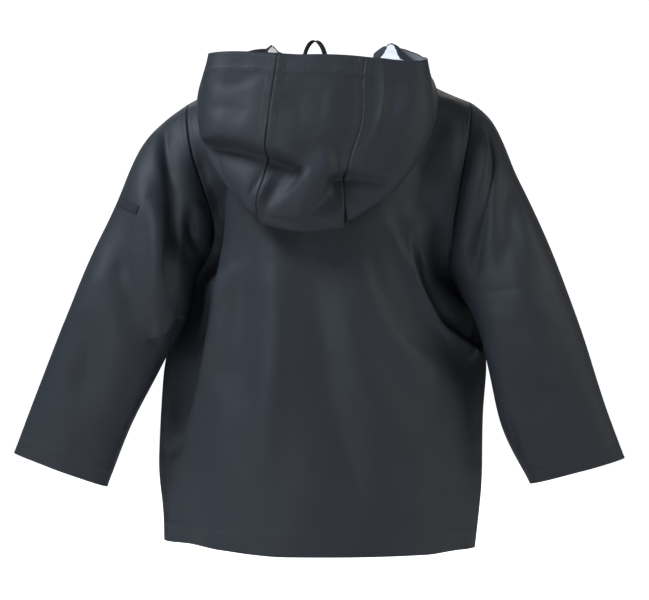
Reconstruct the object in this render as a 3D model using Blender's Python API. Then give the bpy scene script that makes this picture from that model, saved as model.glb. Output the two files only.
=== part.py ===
"""A child's hooded raincoat, size 110, filled out as it is when worn, with no wearer in it.

Frame: metres, +Z up. The coat's front faces -Y and the wearer's left is +X. The origin is the
middle of the neck opening, level with the inner ends of the shoulder seams, where the wearer's
neck and shoulders hold the coat. The sizes and tables below are in millimetres.

Every panel is a grid of points on its outer face. Panels that are sewn together share the points
of their seam, so make_walls() can give both sides of a seam one mitred edge and leave the small
gap that keeps them separate solids.
"""

import math
from collections import namedtuple

import bmesh
import bpy
import numpy as np
from mathutils import Matrix, Vector
from mathutils.bvhtree import BVHTree

MM = 0.001

# Cloth and seams
WALL = 1.6  # coated cloth with its knitted backing
LINING = 1.0  # jersey lining of the hood
GAP = 0.3  # between pieces that are sewn together or lie on each other
MITRE_LIMIT = 2.0  # how far a seam's edge may reach inwards, in wall thicknesses
VALLEY = 0.12  # sine of the angle between two sheets from which their seam counts as a valley

# Body
HEM_Z = -551.0
HEM_LIFT_LEFT = 8.0  # the hem hangs a little higher at the wearer's left side
UNDERARM_Z = -238.0
NECK_HALF_WIDTH = 80.0
BACK_NECK_Y, BACK_NECK_Z = 50.0, -10.0
FRONT_NECK_Y, FRONT_NECK_Z = -75.0, -60.0
OVAL = 0.90  # below 1 the rounds of the body and sleeves are fuller than an ellipse

# Grid: quads along each stretch
SKIRT_ROWS = 14  # hem to underarm
ARMHOLE_ROWS = 11  # underarm to shoulder tip, on the back and again on the front
BACK_NECK_COLUMNS = 10  # middle of the neckline to the inner end of the shoulder seam
FRONT_NECK_COLUMNS = 7
SHOULDER_COLUMNS = 6
SLEEVE_ROWS = 17
HOOD_OUTER_ROWS = 12  # brim to the fold at the bottom of the hood
HOOD_INNER_SHARES = (0, 0.07, 0.18, 0.33, 0.5, 0.67, 0.84, 1)  # that fold to the neck's stand
NECK_SHARE = 0.57  # of a panel's half width, measured round the body

# Closure
PLACKET_HALF = 20.0
PLACKET_WALL = 2.4  # two layers of cloth
SNAP_RADIUS, SNAP_HEIGHT = 6.0, 2.0
SNAPS = 5
SNAP_FIRST_Z, SNAP_LAST_Z = -84.0, -486.0

# Small pieces
LOOP_HALF_SPAN, LOOP_RISE, LOOP_MIDDLE_X = 14.0, 37.0, 8.0
LOOP_TAPE, LOOP_THICK, LOOP_FOOT = 5.5, 1.2, 10.0
LABEL_Z, LABEL_HEIGHT, LABEL_THICK = -161.0, 11.0, 0.9
LABEL_COLUMNS = (ARMHOLE_ROWS - 3.4, ARMHOLE_ROWS + 0.6)  # of the sleeve, round its outer edge

LEFT, RIGHT = 1, -1
BACK, FRONT = 1, -1
SEAM_ORDER = Vector((0.31, 0.52, 0.80))  # a direction no seam runs square to, for cutting its faces

# How far the coat reaches to each side, up to the underarm, and to the back and front in its middle.
SideLine = namedtuple("SideLine", "z left right")
SIDE_LINES = [
    SideLine(-551, 182, 176),
    SideLine(-515, 183, 180),
    SideLine(-475, 187, 184),
    SideLine(-430, 186, 185),
    SideLine(-385, 184, 186),
    SideLine(-345, 181, 189),
    SideLine(-318, 175, 187),
    SideLine(-290, 164, 177),
    SideLine(-262, 153, 163),
    SideLine(-238, 145, 151),
]
MiddleLine = namedtuple("MiddleLine", "z back front")
MIDDLE_LINES = [
    MiddleLine(-551, 116, 112),
    MiddleLine(-500, 115, 111),
    MiddleLine(-440, 113, 110),
    MiddleLine(-385, 111, 108),
    MiddleLine(-310, 106, 104),
    MiddleLine(-238, 100, 101),
    MiddleLine(-180, 96, 98),
    MiddleLine(-120, 87, 90),
    MiddleLine(-60, 71, 75),
    MiddleLine(-10, 50, 58),
]
SIDE_PINCH = 0.35  # how much flatter the body is beside its side seams
SHOULDER_ROUND = 0.55  # how much of the armhole's height the shoulder takes to round over
TURN_SHARPNESS = 0.15  # of the turn between the neckline's height and the shoulder's, per mm
SHOULDER_DEPTH = 0.97  # how deep the coat is beside the armhole, as a share of its middle

Armhole = namedtuple("Armhole", "tip_x tip_z under_x back_depth front_depth pinch")
ARMHOLES = {
    LEFT: Armhole(155, -42, 145, 58, 56, 14),
    RIGHT: Armhole(171, -40, 151, 60, 56, 4),
}

# The silhouette of each sleeve: its outer edge, its underarm edge, half its depth, its middle in Y.
SleeveRing = namedtuple("SleeveRing", "outer_x outer_z inner_x inner_z depth y")
SLEEVES = {
    RIGHT: [
        SleeveRing(171, -40, 151, -238, 60, 0),
        SleeveRing(188, -54, 156, -245, 63, 2),
        SleeveRing(204, -80, 160, -252, 63, 8),
        SleeveRing(218, -113, 164, -262, 61, 17),
        SleeveRing(236, -154, 170, -275, 58, 28),
        SleeveRing(262, -215, 178, -300, 53, 37),
        SleeveRing(289, -287, 187, -341, 45, 40),
        SleeveRing(315, -363, 203, -408, 35, 30),
        SleeveRing(346, -447, 237, -477, 26, 16),
    ],
    LEFT: [
        SleeveRing(155, -42, 145, -238, 58, 0),
        SleeveRing(175, -52, 148, -246, 62, 2),
        SleeveRing(194, -77, 149, -253, 62, 8),
        SleeveRing(212, -108, 150, -263, 60, 17),
        SleeveRing(230, -149, 153, -276, 57, 28),
        SleeveRing(259, -210, 160, -300, 52, 37),
        SleeveRing(289, -281, 181, -342, 44, 40),
        SleeveRing(319, -357, 215, -406, 34, 30),
        SleeveRing(352, -441, 245, -480, 26, 16),
    ],
}
SLEEVE_CLEAR = 3.5  # how far a hanging sleeve stays off the body

# The hood lies back as a pocket. For each direction round the neck (degrees from the middle of the
# back, left positive): a point of the brim, the point where the cloth turns under, how far the
# outer layer swells, and how round the turn is.
HoodRing = namedtuple(
    "HoodRing", "turn brim_x brim_y brim_z fold_x fold_y fold_z swell roll"
)
HOOD_RINGS = [
    HoodRing(-180, -62, -93, 26, -22, -88, -26, 2, 2),
    HoodRing(-165, -74, -80, 33, -44, -84, -20, 3, 2),
    HoodRing(-150, -84, -60, 30, -72, -68, -10, 4, 3),
    HoodRing(-130, -96, -28, 25, -94, -38, -6, 6, 5),
    HoodRing(-110, -106, 8, 17, -114, -4, -10, 8, 8),
    HoodRing(-92, -114, 46, 9, -123, 34, -38, 8, 11),
    HoodRing(-78, -117, 78, 4, -122, 66, -74, 12, 15),
    HoodRing(-66, -114, 101, -1, -109, 86, -114, 20, 17),
    HoodRing(-54, -88, 112, -2, -75, 103, -163, 26, 18),
    HoodRing(-40, -51, 117, 1, -27, 110, -193, 28, 18),
    HoodRing(-20, -25, 119, 3, -4, 113, -200, 27, 19),
    HoodRing(0, 2, 120, 4, 20, 114, -204, 27, 19),
    HoodRing(20, 28, 119, 4, 44, 112, -199, 27, 19),
    HoodRing(40, 54, 117, 6, 69, 107, -189, 27, 18),
    HoodRing(54, 88, 113, 8, 104, 97, -156, 24, 16),
    HoodRing(66, 121, 101, 8, 128, 84, -112, 18, 14),
    HoodRing(78, 127, 78, 8, 136, 66, -68, 12, 12),
    HoodRing(92, 124, 46, 10, 134, 34, -34, 9, 9),
    HoodRing(110, 112, 8, 13, 119, -4, -16, 8, 7),
    HoodRing(130, 98, -28, 18, 98, -38, -10, 6, 5),
    HoodRing(150, 82, -60, 27, 72, -68, -11, 4, 3),
    HoodRing(165, 62, -82, 30, 42, -84, -20, 3, 2),
    HoodRing(180, 42, -95, 24, 16, -88, -28, 2, 2),
]
HOOD_SEAM_TURN = 40.0  # the middle panel lies between these two directions
HOOD_REST = 3.5  # how far the hood's under layer stays off the coat
HOOD_POCKET = 12.0  # and its outer layer off that layer
HOOD_STAND = 7.0  # how high the hood stands from the neck seam before it turns over

# How far below the brim the lining starts, by direction round the neck. At the open chin corners it
# comes up past the brim (below 0).
LiningTop = namedtuple("LiningTop", "turn below")
LINING_TOPS = [
    LiningTop(-180, 12),
    LiningTop(-164, 10),
    LiningTop(-156, -4),
    LiningTop(-134, -4),
    LiningTop(-122, 8),
    LiningTop(-96, 18),
    LiningTop(130, 18),
    LiningTop(152, 10),
    LiningTop(160, -5),
    LiningTop(170, -5),
    LiningTop(176, 8),
    LiningTop(180, 12),
]
LINING_TURN = 4  # rows before the hood's turn where its lining leaves the shell

# A fold is a soft ridge (height above 0) or trough (below 0) along a curve through three points,
# seen from behind. Its height eases from start through 1 to end, as shares of the whole.
Fold = namedtuple("Fold", "x0 z0 x1 z1 x2 z2 half_width height start end")
BACK_FOLDS = [
    Fold(104, -150, 128, -262, 152, -395, 17, 13, 0.6, 0.1),  # ridge beside the left sleeve
    Fold(128, -170, 146, -255, 156, -335, 17, -15, 0.7, 0.1),  # hollow between it and the sleeve
    Fold(150, -385, 172, -420, 188, -452, 13, 8, 0.4, 0.3),  # its foot curls out to the side
    Fold(60, -190, 52, -300, 72, -440, 20, 7, 0.5, 0.1),
    Fold(96, -190, 88, -320, 100, -420, 20, -7, 0.4, 0.1),
    Fold(22, -200, 10, -350, -45, -520, 24, -6, 0.3, 0.1),
    Fold(-20, -260, -40, -380, -75, -470, 18, 4, 0.2, 0.1),
    Fold(-84, -180, -108, -290, -166, -338, 17, -15, 0.6, 0.5),  # drags to the right underarm
    Fold(-112, -190, -132, -268, -178, -318, 14, 10, 0.5, 0.4),
    Fold(-130, -205, -144, -262, -178, -300, 14, -12, 0.7, 0.3),
    Fold(-150, -330, -168, -420, -168, -520, 22, 5, 0.4, 0.2),
]
FRONT_FOLDS = [
    Fold(120, -200, 108, -300, 60, -380, 20, 9, 0.5, 0.1),
    Fold(136, -235, 134, -300, 112, -380, 17, -9, 0.3, 0.1),
    Fold(80, -240, 76, -360, 92, -500, 24, -6, 0.3, 0.2),
    Fold(-122, -200, -112, -305, -58, -372, 20, 9, 0.5, 0.1),
    Fold(-138, -235, -136, -305, -104, -392, 17, -9, 0.3, 0.1),
    Fold(-86, -250, -82, -370, -98, -510, 24, -6, 0.3, 0.2),
]
SLEEVE_BACK_FOLDS = {
    RIGHT: [
        Fold(-190, -60, -196, -150, -182, -238, 12, 11, 0.6, 0.3),  # ridge below the shoulder tip
        Fold(-176, -84, -180, -140, -160, -214, 13, -9, 0.5, 0.4),
        Fold(-206, -110, -208, -180, -196, -252, 15, -7, 0.4, 0.2),
        Fold(-212, -232, -240, -300, -252, -356, 22, 6, 0.3, 0.2),
        Fold(-208, -340, -236, -392, -262, -372, 20, -5, 0.2, 0.2),
    ],
    LEFT: [
        Fold(178, -66, 172, -130, 158, -196, 13, -17, 0.7, 0.5),  # deep fold below the shoulder
        Fold(196, -96, 192, -190, 176, -290, 18, 11, 0.5, 0.3),
        Fold(226, -190, 224, -260, 196, -314, 17, -10, 0.3, 0.2),
        Fold(262, -280, 262, -340, 278, -400, 20, -7, 0.3, 0.2),
        Fold(150, -196, 136, -212, 140, -240, 12, -14, 0.7, 0.3),
    ],
}
SLEEVE_FRONT_FOLDS = {
    side: [
        Fold(side * 176, -80, side * 180, -150, side * 166, -222, 15, -10, 0.5, 0.4),
        Fold(side * 198, -96, side * 202, -180, side * 186, -262, 17, 8, 0.5, 0.3),
        Fold(side * 206, -300, side * 240, -340, side * 270, -330, 18, -6, 0.2, 0.2),
    ]
    for side in (LEFT, RIGHT)
}
HOOD_FOLDS = [
    Fold(118, -103, 70, -103, 20, -130, 14, -12, 0.5, 0.4),  # the long fold across the hood
    Fold(114, -82, 70, -86, 8, -102, 17, 8, 0.4, 0.5),  # the cloth that hangs over it
    Fold(-6, -98, 4, -134, 34, -172, 14, 9, 0.5, 0.3),  # loop at its right end
    Fold(-14, -116, -10, -144, 14, -164, 11, -5, 0.4, 0.3),
    Fold(-18, -120, -40, -114, -70, -120, 12, -9, 0.5, 0.4),
    Fold(-18, -102, -44, -96, -74, -102, 14, 6, 0.4, 0.3),
    Fold(-60, -14, -84, -50, -72, -86, 22, -4, 0.3, 0.3),
]


def spline(at, table_at, values):
    """A smooth curve through a table's values, read at one or more places."""
    at, knots, values = (np.asarray(a, float) for a in (at, table_at, values))
    slopes = np.gradient(values, knots)
    i = np.clip(np.searchsorted(knots, at) - 1, 0, len(knots) - 2)
    step = knots[i + 1] - knots[i]
    t = np.clip((at - knots[i]) / step, 0, 1)
    return (
        values[i] * (1 + 2 * t) * (1 - t) ** 2
        + slopes[i] * step * t * (1 - t) ** 2
        + values[i + 1] * t**2 * (3 - 2 * t)
        + slopes[i + 1] * step * t**2 * (t - 1)
    )


def column(table, name):
    return [getattr(row, name) for row in table]


def ease(share):
    share = np.clip(share, 0, 1)
    return share * share * (3 - 2 * share)


def fold_height(points, folds):
    """How far each point is moved along its normal by the folds that pass near it."""
    moved = np.zeros(len(points))
    s = np.linspace(0, 1, 33)
    for fold in folds:
        line = np.stack(
            [
                (1 - s) ** 2 * a + 2 * s * (1 - s) * b + s**2 * c
                for a, b, c in ((fold.x0, fold.x1, fold.x2), (fold.z0, fold.z1, fold.z2))
            ],
            axis=1,
        )
        away = np.linalg.norm(points[:, None, [0, 2]] - line[None], axis=2)
        nearest = away.argmin(1)
        along = s[nearest]
        ends = np.minimum(
            fold.start + (1 - fold.start) * ease(along * 3),
            fold.end + (1 - fold.end) * ease((1 - along) * 3),
        )
        moved += fold.height * ends * np.exp(-((away.min(1) / fold.half_width) ** 2))
    return moved


def tangents(grid, axis, closed=False):
    """At each point of a grid, the direction halfway between the steps before and after it."""
    ends = [(0, 0), (0, 0), (0, 0)]
    ends[axis] = (1, 1)
    padded = np.pad(grid, ends, mode="wrap" if closed else "edge")
    steps = np.diff(padded, axis=axis)
    steps = steps / np.maximum(np.linalg.norm(steps, axis=2, keepdims=True), 1e-9)
    count = grid.shape[axis]
    return np.take(steps, range(count), axis) + np.take(steps, range(1, count + 1), axis)


def grid_normals(grid, closed=False):
    """Unit normals of a grid of points. A closed grid joins its last column to its first."""
    normals = np.cross(tangents(grid, 1, closed), tangents(grid, 0))
    return normals / np.maximum(np.linalg.norm(normals, axis=2, keepdims=True), 1e-9)


def folded(grid, back_folds, front_folds, closed=False, keep=()):
    """The grid with its folds. Rows and columns named in keep fade to no fold, as at a seam."""
    flat = grid.reshape(-1, 3)
    height = np.where(
        flat[:, 1] > 0, fold_height(flat, back_folds), fold_height(flat, front_folds)
    ).reshape(grid.shape[:2])
    rows, columns = grid.shape[:2]
    for border in keep:
        i, j = np.arange(rows)[:, None], np.arange(columns)[None]
        away = {
            "first_row": i,
            "last_row": rows - 1 - i,
            "first_column": j,
            "last_column": columns - 1 - j,
        }[border]
        height = height * ease((away + 0 * i * j) / 3.0)
    return grid + grid_normals(grid, closed) * height[:, :, None]


# ---------------------------------------------------------------- body


def armhole_angle(k):
    """The angle round the armhole of its point k, counted from the underarm to the shoulder tip."""
    wide = 0.6  # how much longer the first and the last step are than the others
    steps = k + (wide if k > 0 else 0) + (wide if k == ARMHOLE_ROWS else 0)
    return math.pi * steps / (ARMHOLE_ROWS + 2 * wide)


def armhole_point(side, face, angle):
    """A point of the armhole seam. The angle runs from the underarm, 0, to the shoulder tip, pi."""
    hole = ARMHOLES[side]
    share = (1 - math.cos(angle)) / 2
    depth = hole.back_depth if face == BACK else hole.front_depth
    bow = math.sin(angle) ** 2 * (1 - share) ** 2 * 4
    return np.array(
        [
            side * (hole.under_x + (hole.tip_x - hole.under_x) * share - hole.pinch * bow),
            face * depth * max(math.sin(angle), 0) ** 0.9,
            UNDERARM_Z + (hole.tip_z - UNDERARM_Z) * share,
        ]
    )


def neck_point(face, turn_share):
    """A point of the neckline, from its middle, 0, to the shoulder seam, 1, for the +X side."""
    angle = turn_share * math.pi / 2
    y, z = (
        (BACK_NECK_Y, BACK_NECK_Z) if face == BACK else (FRONT_NECK_Y, FRONT_NECK_Z)
    )
    return NECK_HALF_WIDTH * np.sin(angle), y * np.cos(angle), z * np.cos(angle) ** 2


def middle_depth(face, z):
    """How far the coat reaches back or front in its middle, at a height."""
    at = column(MIDDLE_LINES, "z")
    return spline(z, at, column(MIDDLE_LINES, "back" if face == BACK else "front"))


def oval_sine(angle):
    return np.sin(angle).clip(0) ** OVAL


def oval_cosine(angle):
    return np.cos(angle).clip(0) ** OVAL


def skirt_row(face, side, share, u):
    """Points of a level row below the underarm. u runs from the middle, 0, to the side seam, 1."""
    level = HEM_Z + (UNDERARM_Z - HEM_Z) * share
    reach = column(SIDE_LINES, "left" if side == LEFT else "right")
    flare = spline(level, column(SIDE_LINES, "z"), reach) - reach[-1]
    x = side * (reach[-1] + flare * u**1.5) * oval_sine(u * math.pi / 2)
    pinch = SIDE_PINCH * ease((u - 0.5) / 0.28) * ease((UNDERARM_Z - level) / 90)
    y = face * middle_depth(face, level) * oval_cosine(u * math.pi / 2) * (1 - pinch)
    hem = HEM_Z + HEM_LIFT_LEFT * ease((x - 40) / 120)
    return np.stack([x, y, hem + (UNDERARM_Z - hem) * share], axis=1)


def armhole_row(face, side, angle, u):
    """Points of a row that ends on the armhole. It rises from level to the shoulder and neckline."""
    edge = armhole_point(side, face, angle)
    up = (1 - math.cos(angle)) / 2
    hole = ARMHOLES[side]
    neck_x, neck_y, neck_z = neck_point(face, np.clip(u / NECK_SHARE, 0, 1))
    along = np.clip((u - NECK_SHARE) / (1 - NECK_SHARE), 0, 1)
    on_neck = u <= NECK_SHARE
    top_x = np.where(on_neck, neck_x, NECK_HALF_WIDTH + (hole.tip_x - NECK_HALF_WIDTH) * along)
    # The shoulder rounds over to a ridge, the part below the neck keeps its own depth.
    drop = np.clip((1 - up) / SHOULDER_ROUND, 0, 1)
    rounded = math.sqrt(max(1 - (1 - drop) ** 2, 0))
    fade = 1 - (1 - SHOULDER_DEPTH) * up
    under = float(middle_depth(face, UNDERARM_Z)) * fade * rounded
    neck_part = np.where(on_neck, np.abs(neck_y) / abs(neck_point(face, 0)[1]), 0)
    neck_part = neck_part / np.maximum(oval_cosine(u * math.pi / 2), 1e-6)
    neck_part = neck_part * up**4 + (1 - ease(u / 0.85)) * (1 - up**4)
    level = UNDERARM_Z + (neck_point(face, 0)[2] - UNDERARM_Z) * up
    depth = under + (middle_depth(face, level) - under) * neck_part
    span = math.acos(min((abs(edge[1]) / max(under, 1e-6)) ** (1 / OVAL), 1)) if under else 0
    span = span if up < 1 else math.pi / 2
    y = face * depth * oval_cosine(u * span)
    neck_y = neck_y * np.ones(len(u))
    widest = max(float(oval_sine(span)), 1e-6)
    lean = 0.35 * up**2 + 0.65 * up**24
    x = edge[0] * ((1 - lean) * oval_sine(u * span) / widest + lean * top_x / hole.tip_x)
    # The surface follows the neckline and the shoulder's slope, with a soft turn between them.
    slope = hole.tip_z * (np.abs(x) - NECK_HALF_WIDTH) / (hole.tip_x - NECK_HALF_WIDTH)
    collar = neck_point(face, 0)[2] * (1 - (x / NECK_HALF_WIDTH) ** 2)
    top_z = -np.logaddexp(-TURN_SHARPNESS * collar, -TURN_SHARPNESS * slope) / TURN_SHARPNESS
    if up == 1:
        y = np.where(on_neck, neck_y, 0)
        top_z = np.where(on_neck, neck_z, hole.tip_z * along)
    z = UNDERARM_Z + (top_z - UNDERARM_Z) * up
    return np.stack([x, y, z], axis=1)


def half_columns(row, face):
    """Where a row's columns lie. In front, the placket's edge is at one width on every row."""
    shoulder = NECK_SHARE + (1 - NECK_SHARE) * np.arange(1, SHOULDER_COLUMNS + 1) / SHOULDER_COLUMNS
    if face == BACK:
        neck = NECK_SHARE * np.arange(BACK_NECK_COLUMNS + 1) / BACK_NECK_COLUMNS
        return np.concatenate([neck, shoulder])
    fine = np.linspace(0, 1, 400)
    edge = np.interp(PLACKET_HALF, np.abs(row(fine)[:, 0]), fine)
    neck = np.linspace(edge, NECK_SHARE, FRONT_NECK_COLUMNS)
    return np.concatenate([[0], neck, shoulder])


def body_half(face, side):
    """Half a body, rows from the hem up, columns from the middle to the side seam and armhole."""
    rows = []
    for i in range(SKIRT_ROWS + ARMHOLE_ROWS + 1):
        if i <= SKIRT_ROWS:
            share = i / SKIRT_ROWS
            row = lambda u, share=share: skirt_row(face, side, share, u)
        else:
            angle = armhole_angle(i - SKIRT_ROWS)
            row = lambda u, angle=angle: armhole_row(face, side, angle, u)
        rows.append(row(half_columns(row, face)))
    return np.array(rows)


def back_panel():
    left, right = body_half(BACK, LEFT), body_half(BACK, RIGHT)
    whole = np.concatenate([left[:, ::-1], right[:, 1:]], axis=1)
    return folded(whole, BACK_FOLDS, (), keep=("first_column", "last_column", "last_row"))


def front_panel(side):
    half = body_half(FRONT, side)
    if side == RIGHT:
        half = half[:, ::-1]
    outer = "last_column" if side == LEFT else "first_column"
    return folded(half, (), FRONT_FOLDS, keep=(outer, "last_row"))


# ---------------------------------------------------------------- sleeves


def sleeve_panel(side, back, front, body):
    """A sleeve as a tube, rows from the armhole to the cuff, columns round it from the underarm."""
    armhole = {
        BACK: back[SKIRT_ROWS:, 0 if side == LEFT else -1],
        FRONT: front[SKIRT_ROWS:, -1 if side == LEFT else 0],
    }
    rings = SLEEVES[side]
    along = [0.0]
    for a, b in zip(rings, rings[1:]):
        outer = math.hypot(b.outer_x - a.outer_x, b.outer_z - a.outer_z)
        inner = math.hypot(b.inner_x - a.inner_x, b.inner_z - a.inner_z)
        along.append(along[-1] + (outer + inner) / 2)
    at = along[-1] * np.arange(SLEEVE_ROWS + 1) / SLEEVE_ROWS
    read = {name: spline(at, along, column(rings, name)) for name in SleeveRing._fields}
    grid = np.zeros((SLEEVE_ROWS + 1, 2 * ARMHOLE_ROWS, 3))
    for j in range(2 * ARMHOLE_ROWS):
        face = BACK if j <= ARMHOLE_ROWS else FRONT
        step = j if face == BACK else 2 * ARMHOLE_ROWS - j
        angle = armhole_angle(step)
        share = (1 - math.cos(angle)) / 2
        start = armhole[face][step]
        x = side * (read["inner_x"] + (read["outer_x"] - read["inner_x"]) * share)
        y = read["y"] + face * read["depth"] * math.sin(angle) ** 0.85
        z = read["inner_z"] + (read["outer_z"] - read["inner_z"]) * share
        fade = (1 - ease(at / 70.0))[:, None]
        plain = np.stack([x, y, z], axis=1)
        grid[:, j] = plain + (start - plain[0]) * fade
        grid[0, j] = start
    if side == RIGHT:  # so that the outer face looks outwards, with the underarm still first
        grid = np.roll(grid[:, ::-1], 1, axis=1)
    grid = folded(
        grid, SLEEVE_BACK_FOLDS[side], SLEEVE_FRONT_FOLDS[side], closed=True, keep=("first_row",)
    )
    from_underarm = ARMHOLE_ROWS - np.abs(np.arange(2 * ARMHOLE_ROWS) - ARMHOLE_ROWS)
    from_seam = np.clip(np.arange(SLEEVE_ROWS + 1) / 2, 0, 1)
    clear = SLEEVE_CLEAR * from_seam[:, None] * (from_underarm < 5)[None]
    return laid_on(grid, body, clear, closed=True)


# ---------------------------------------------------------------- hood


def bezier(points, shares):
    """Points along a cubic Bezier curve, at the given shares of its length."""
    a, b, c, d = (np.asarray(p, float) for p in points)
    t = np.linspace(0, 1, 60)[:, None]
    fine = (1 - t) ** 3 * a + 3 * (1 - t) ** 2 * t * b + 3 * (1 - t) * t**2 * c + t**3 * d
    length = np.concatenate([[0], np.cumsum(np.linalg.norm(np.diff(fine, axis=0), axis=1))])
    at = length[-1] * np.asarray(shares)
    return np.stack([np.interp(at, length, fine[:, k]) for k in range(3)], axis=1)


def shares_closing(count):
    """Shares from 0 to 1 that lie closer together towards 1."""
    even = np.linspace(0, 1, count + 1)
    return 0.5 * even + 0.5 * np.sin(even * math.pi / 2)


def hood_line(turn, neck):
    """The cloth from the brim, round the turn at the bottom, to a point of the neck seam."""
    at = column(HOOD_RINGS, "turn")
    read = {name: spline(turn, at, column(HOOD_RINGS, name)) for name in HoodRing._fields}
    brim = np.array([read["brim_x"], read["brim_y"], read["brim_z"]])
    fold = np.array([read["fold_x"], read["fold_y"], read["fold_z"]])
    out = (fold - neck) * (1, 1, 0)
    out = out / np.linalg.norm(out)
    up = np.array([0, 0, 1.0])
    drop, climb = np.linalg.norm(brim - fold), np.linalg.norm(neck - fold)
    pocket = float(ease((150 - abs(turn)) / 50))  # 0 at the chin, 1 where the hood lies back
    under = unit(unit(neck - brim) * (1 - pocket) - out * pocket)  # the cloth's way at the turn
    before = pocket * (1.3 * read["roll"] + 0.3 * read["swell"]) + (1 - pocket) * drop * 0.33
    after = pocket * read["roll"] + (1 - pocket) * climb * 0.33
    crest = neck + up * HOOD_STAND + out * HOOD_STAND * 0.7
    outer = bezier(
        [
            brim,
            brim + out * read["swell"] * 0.7 - up * drop * 0.33,
            fold - under * before + up * drop * 0.05 * pocket,
            fold,
        ],
        shares_closing(HOOD_OUTER_ROWS),
    )
    inner = bezier(
        [fold, fold + under * after, crest + out * climb * 0.22 * pocket - up * climb * 0.1, crest],
        HOOD_INNER_SHARES,
    )
    stand = neck + up * HOOD_STAND * 0.7 + out * HOOD_STAND * 0.1
    return np.concatenate([outer, inner[1:], [stand, neck]])


def neck_seam(back, front_left, front_right):
    """The neckline's points from the right front's edge round the back to the left front's."""
    middle = back.shape[1] // 2
    front_neck, back_neck = FRONT_NECK_COLUMNS + 1, BACK_NECK_COLUMNS
    across = [
        front_right[-1, -front_neck:][::-1],
        back[-1, middle : middle + back_neck][::-1],
        back[-1, middle - back_neck + 1 : middle][::-1],
        front_left[-1, :front_neck][::-1],
    ]
    return np.concatenate(across)


def surface_tree(grids):
    """A search tree of the coat's outer faces, for laying one piece on another."""
    points, faces = [], []
    for grid, closed in grids:
        rows, columns = grid.shape[:2]
        first = len(points)
        points += [Vector(p) for p in grid.reshape(-1, 3)]
        for i in range(rows - 1):
            for j in range(columns if closed else columns - 1):
                k = (j + 1) % columns
                a, b, c, d = (
                    first + corner
                    for corner in (i * columns + j, i * columns + k, (i + 1) * columns + k, (i + 1) * columns + j)
                )
                if (points[a] - points[c]).length <= (points[b] - points[d]).length:
                    faces += [(a, b, c), (a, c, d)]
                else:
                    faces += [(a, b, d), (b, c, d)]
    return BVHTree.FromPolygons(points, faces)


def short_of(point, tree, clear):
    """The step that takes a point to its distance outside the tree's faces, or None."""
    point = Vector(point)
    place, normal, _, _ = tree.find_nearest(point)
    away = point - place
    if away.dot(normal) < 0:
        return np.array(place + normal * clear - point)
    if away.length < clear:
        return np.array(normal * (clear - away.length))
    return None


def laid_on(grid, tree, clear, closed=False):
    """The grid kept outside the tree's faces, at its points and in the middle of its quads."""
    grid = grid.copy()
    columns = grid.shape[1]
    for _ in range(4):
        for i, j in np.argwhere(clear > 0):
            step = short_of(grid[i, j], tree, clear[i, j])
            if step is not None:
                grid[i, j] += step
        for i, j in np.argwhere(clear[:-1] > 0):
            k = (j + 1) % columns
            if k == 0 and not closed:
                continue
            corners = [(i, j), (i, k), (i + 1, j), (i + 1, k)]
            middle = np.mean([grid[c] for c in corners], axis=0)
            step = short_of(middle, tree, 0.6 * min(clear[c] for c in corners) + 0.2)
            if step is not None:
                for c in corners:
                    grid[c] += step * (clear[c] > 0)
    return grid


def neck_turns(seam):
    """Each seam point's direction round the neck, in degrees from the middle of the back."""
    middle = len(seam) // 2
    turns = []
    for k, point in enumerate(seam):
        share = min(1.0, abs(point[0]) / NECK_HALF_WIDTH)
        quarter = math.degrees(math.asin(share))
        turn = quarter if point[1] >= 0 else 180 - quarter
        turns.append(math.copysign(turn, k - middle) if k != middle else 0.0)
    return np.array(turns)


def hood_panel(seam, tree):
    """The whole hood, rows from the brim to the neck seam, columns from right chin to left chin."""
    grid = np.stack([hood_line(t, p) for t, p in zip(neck_turns(seam), seam)], axis=1)
    rows = grid.shape[0]
    outer_only = grid.copy()
    folds = fold_height(grid.reshape(-1, 3), HOOD_FOLDS).reshape(grid.shape[:2])
    share = 1 - ease((np.arange(rows) - 0.62 * HOOD_OUTER_ROWS) / (0.38 * HOOD_OUTER_ROWS))
    share = share * ease((np.arange(rows) + 0.5) / 2)
    behind = ease((grid[:, :, 1] - 40) / 40)
    outer_only += grid_normals(grid) * (folds * share[:, None] * behind)[:, :, None]
    outer_only[-1] = seam
    at_fold = HOOD_OUTER_ROWS
    rest = np.interp(
        np.arange(rows), [at_fold - 1, at_fold, rows - 3, rows - 2], [0, HOOD_REST, HOOD_REST, 0]
    )
    lift = np.interp(
        np.arange(rows), [1, 3, at_fold - 3, at_fold, at_fold + 2], [0, 1, 1, 0.3, 0]
    )
    pocket = ease((125 - np.abs(neck_turns(seam))) / 25)
    clear = rest[:, None] + lift[:, None] * (HOOD_POCKET + HOOD_REST) * pocket[None]
    laid = laid_on(outer_only, tree, clear)
    for _ in range(2):  # a softer turn than the laying leaves
        laid[4:-4] = laid[4:-4] * 0.5 + (laid[3:-5] + laid[5:-3]) * 0.25
    return laid_on(laid, tree, rest[:, None] * np.ones(len(seam)))


def hood_underside(grid):
    """The hood's inner face, a wall below its outer one, eased where the cloth turns tightly."""
    below = grid - grid_normals(grid) * WALL
    for _ in range(3):
        for i in range(HOOD_OUTER_ROWS - 2, HOOD_OUTER_ROWS + 4):
            below[i] = below[i] * 0.5 + (below[i - 1] + below[i + 1]) * 0.25
    return below


# ---------------------------------------------------------------- walls


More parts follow.
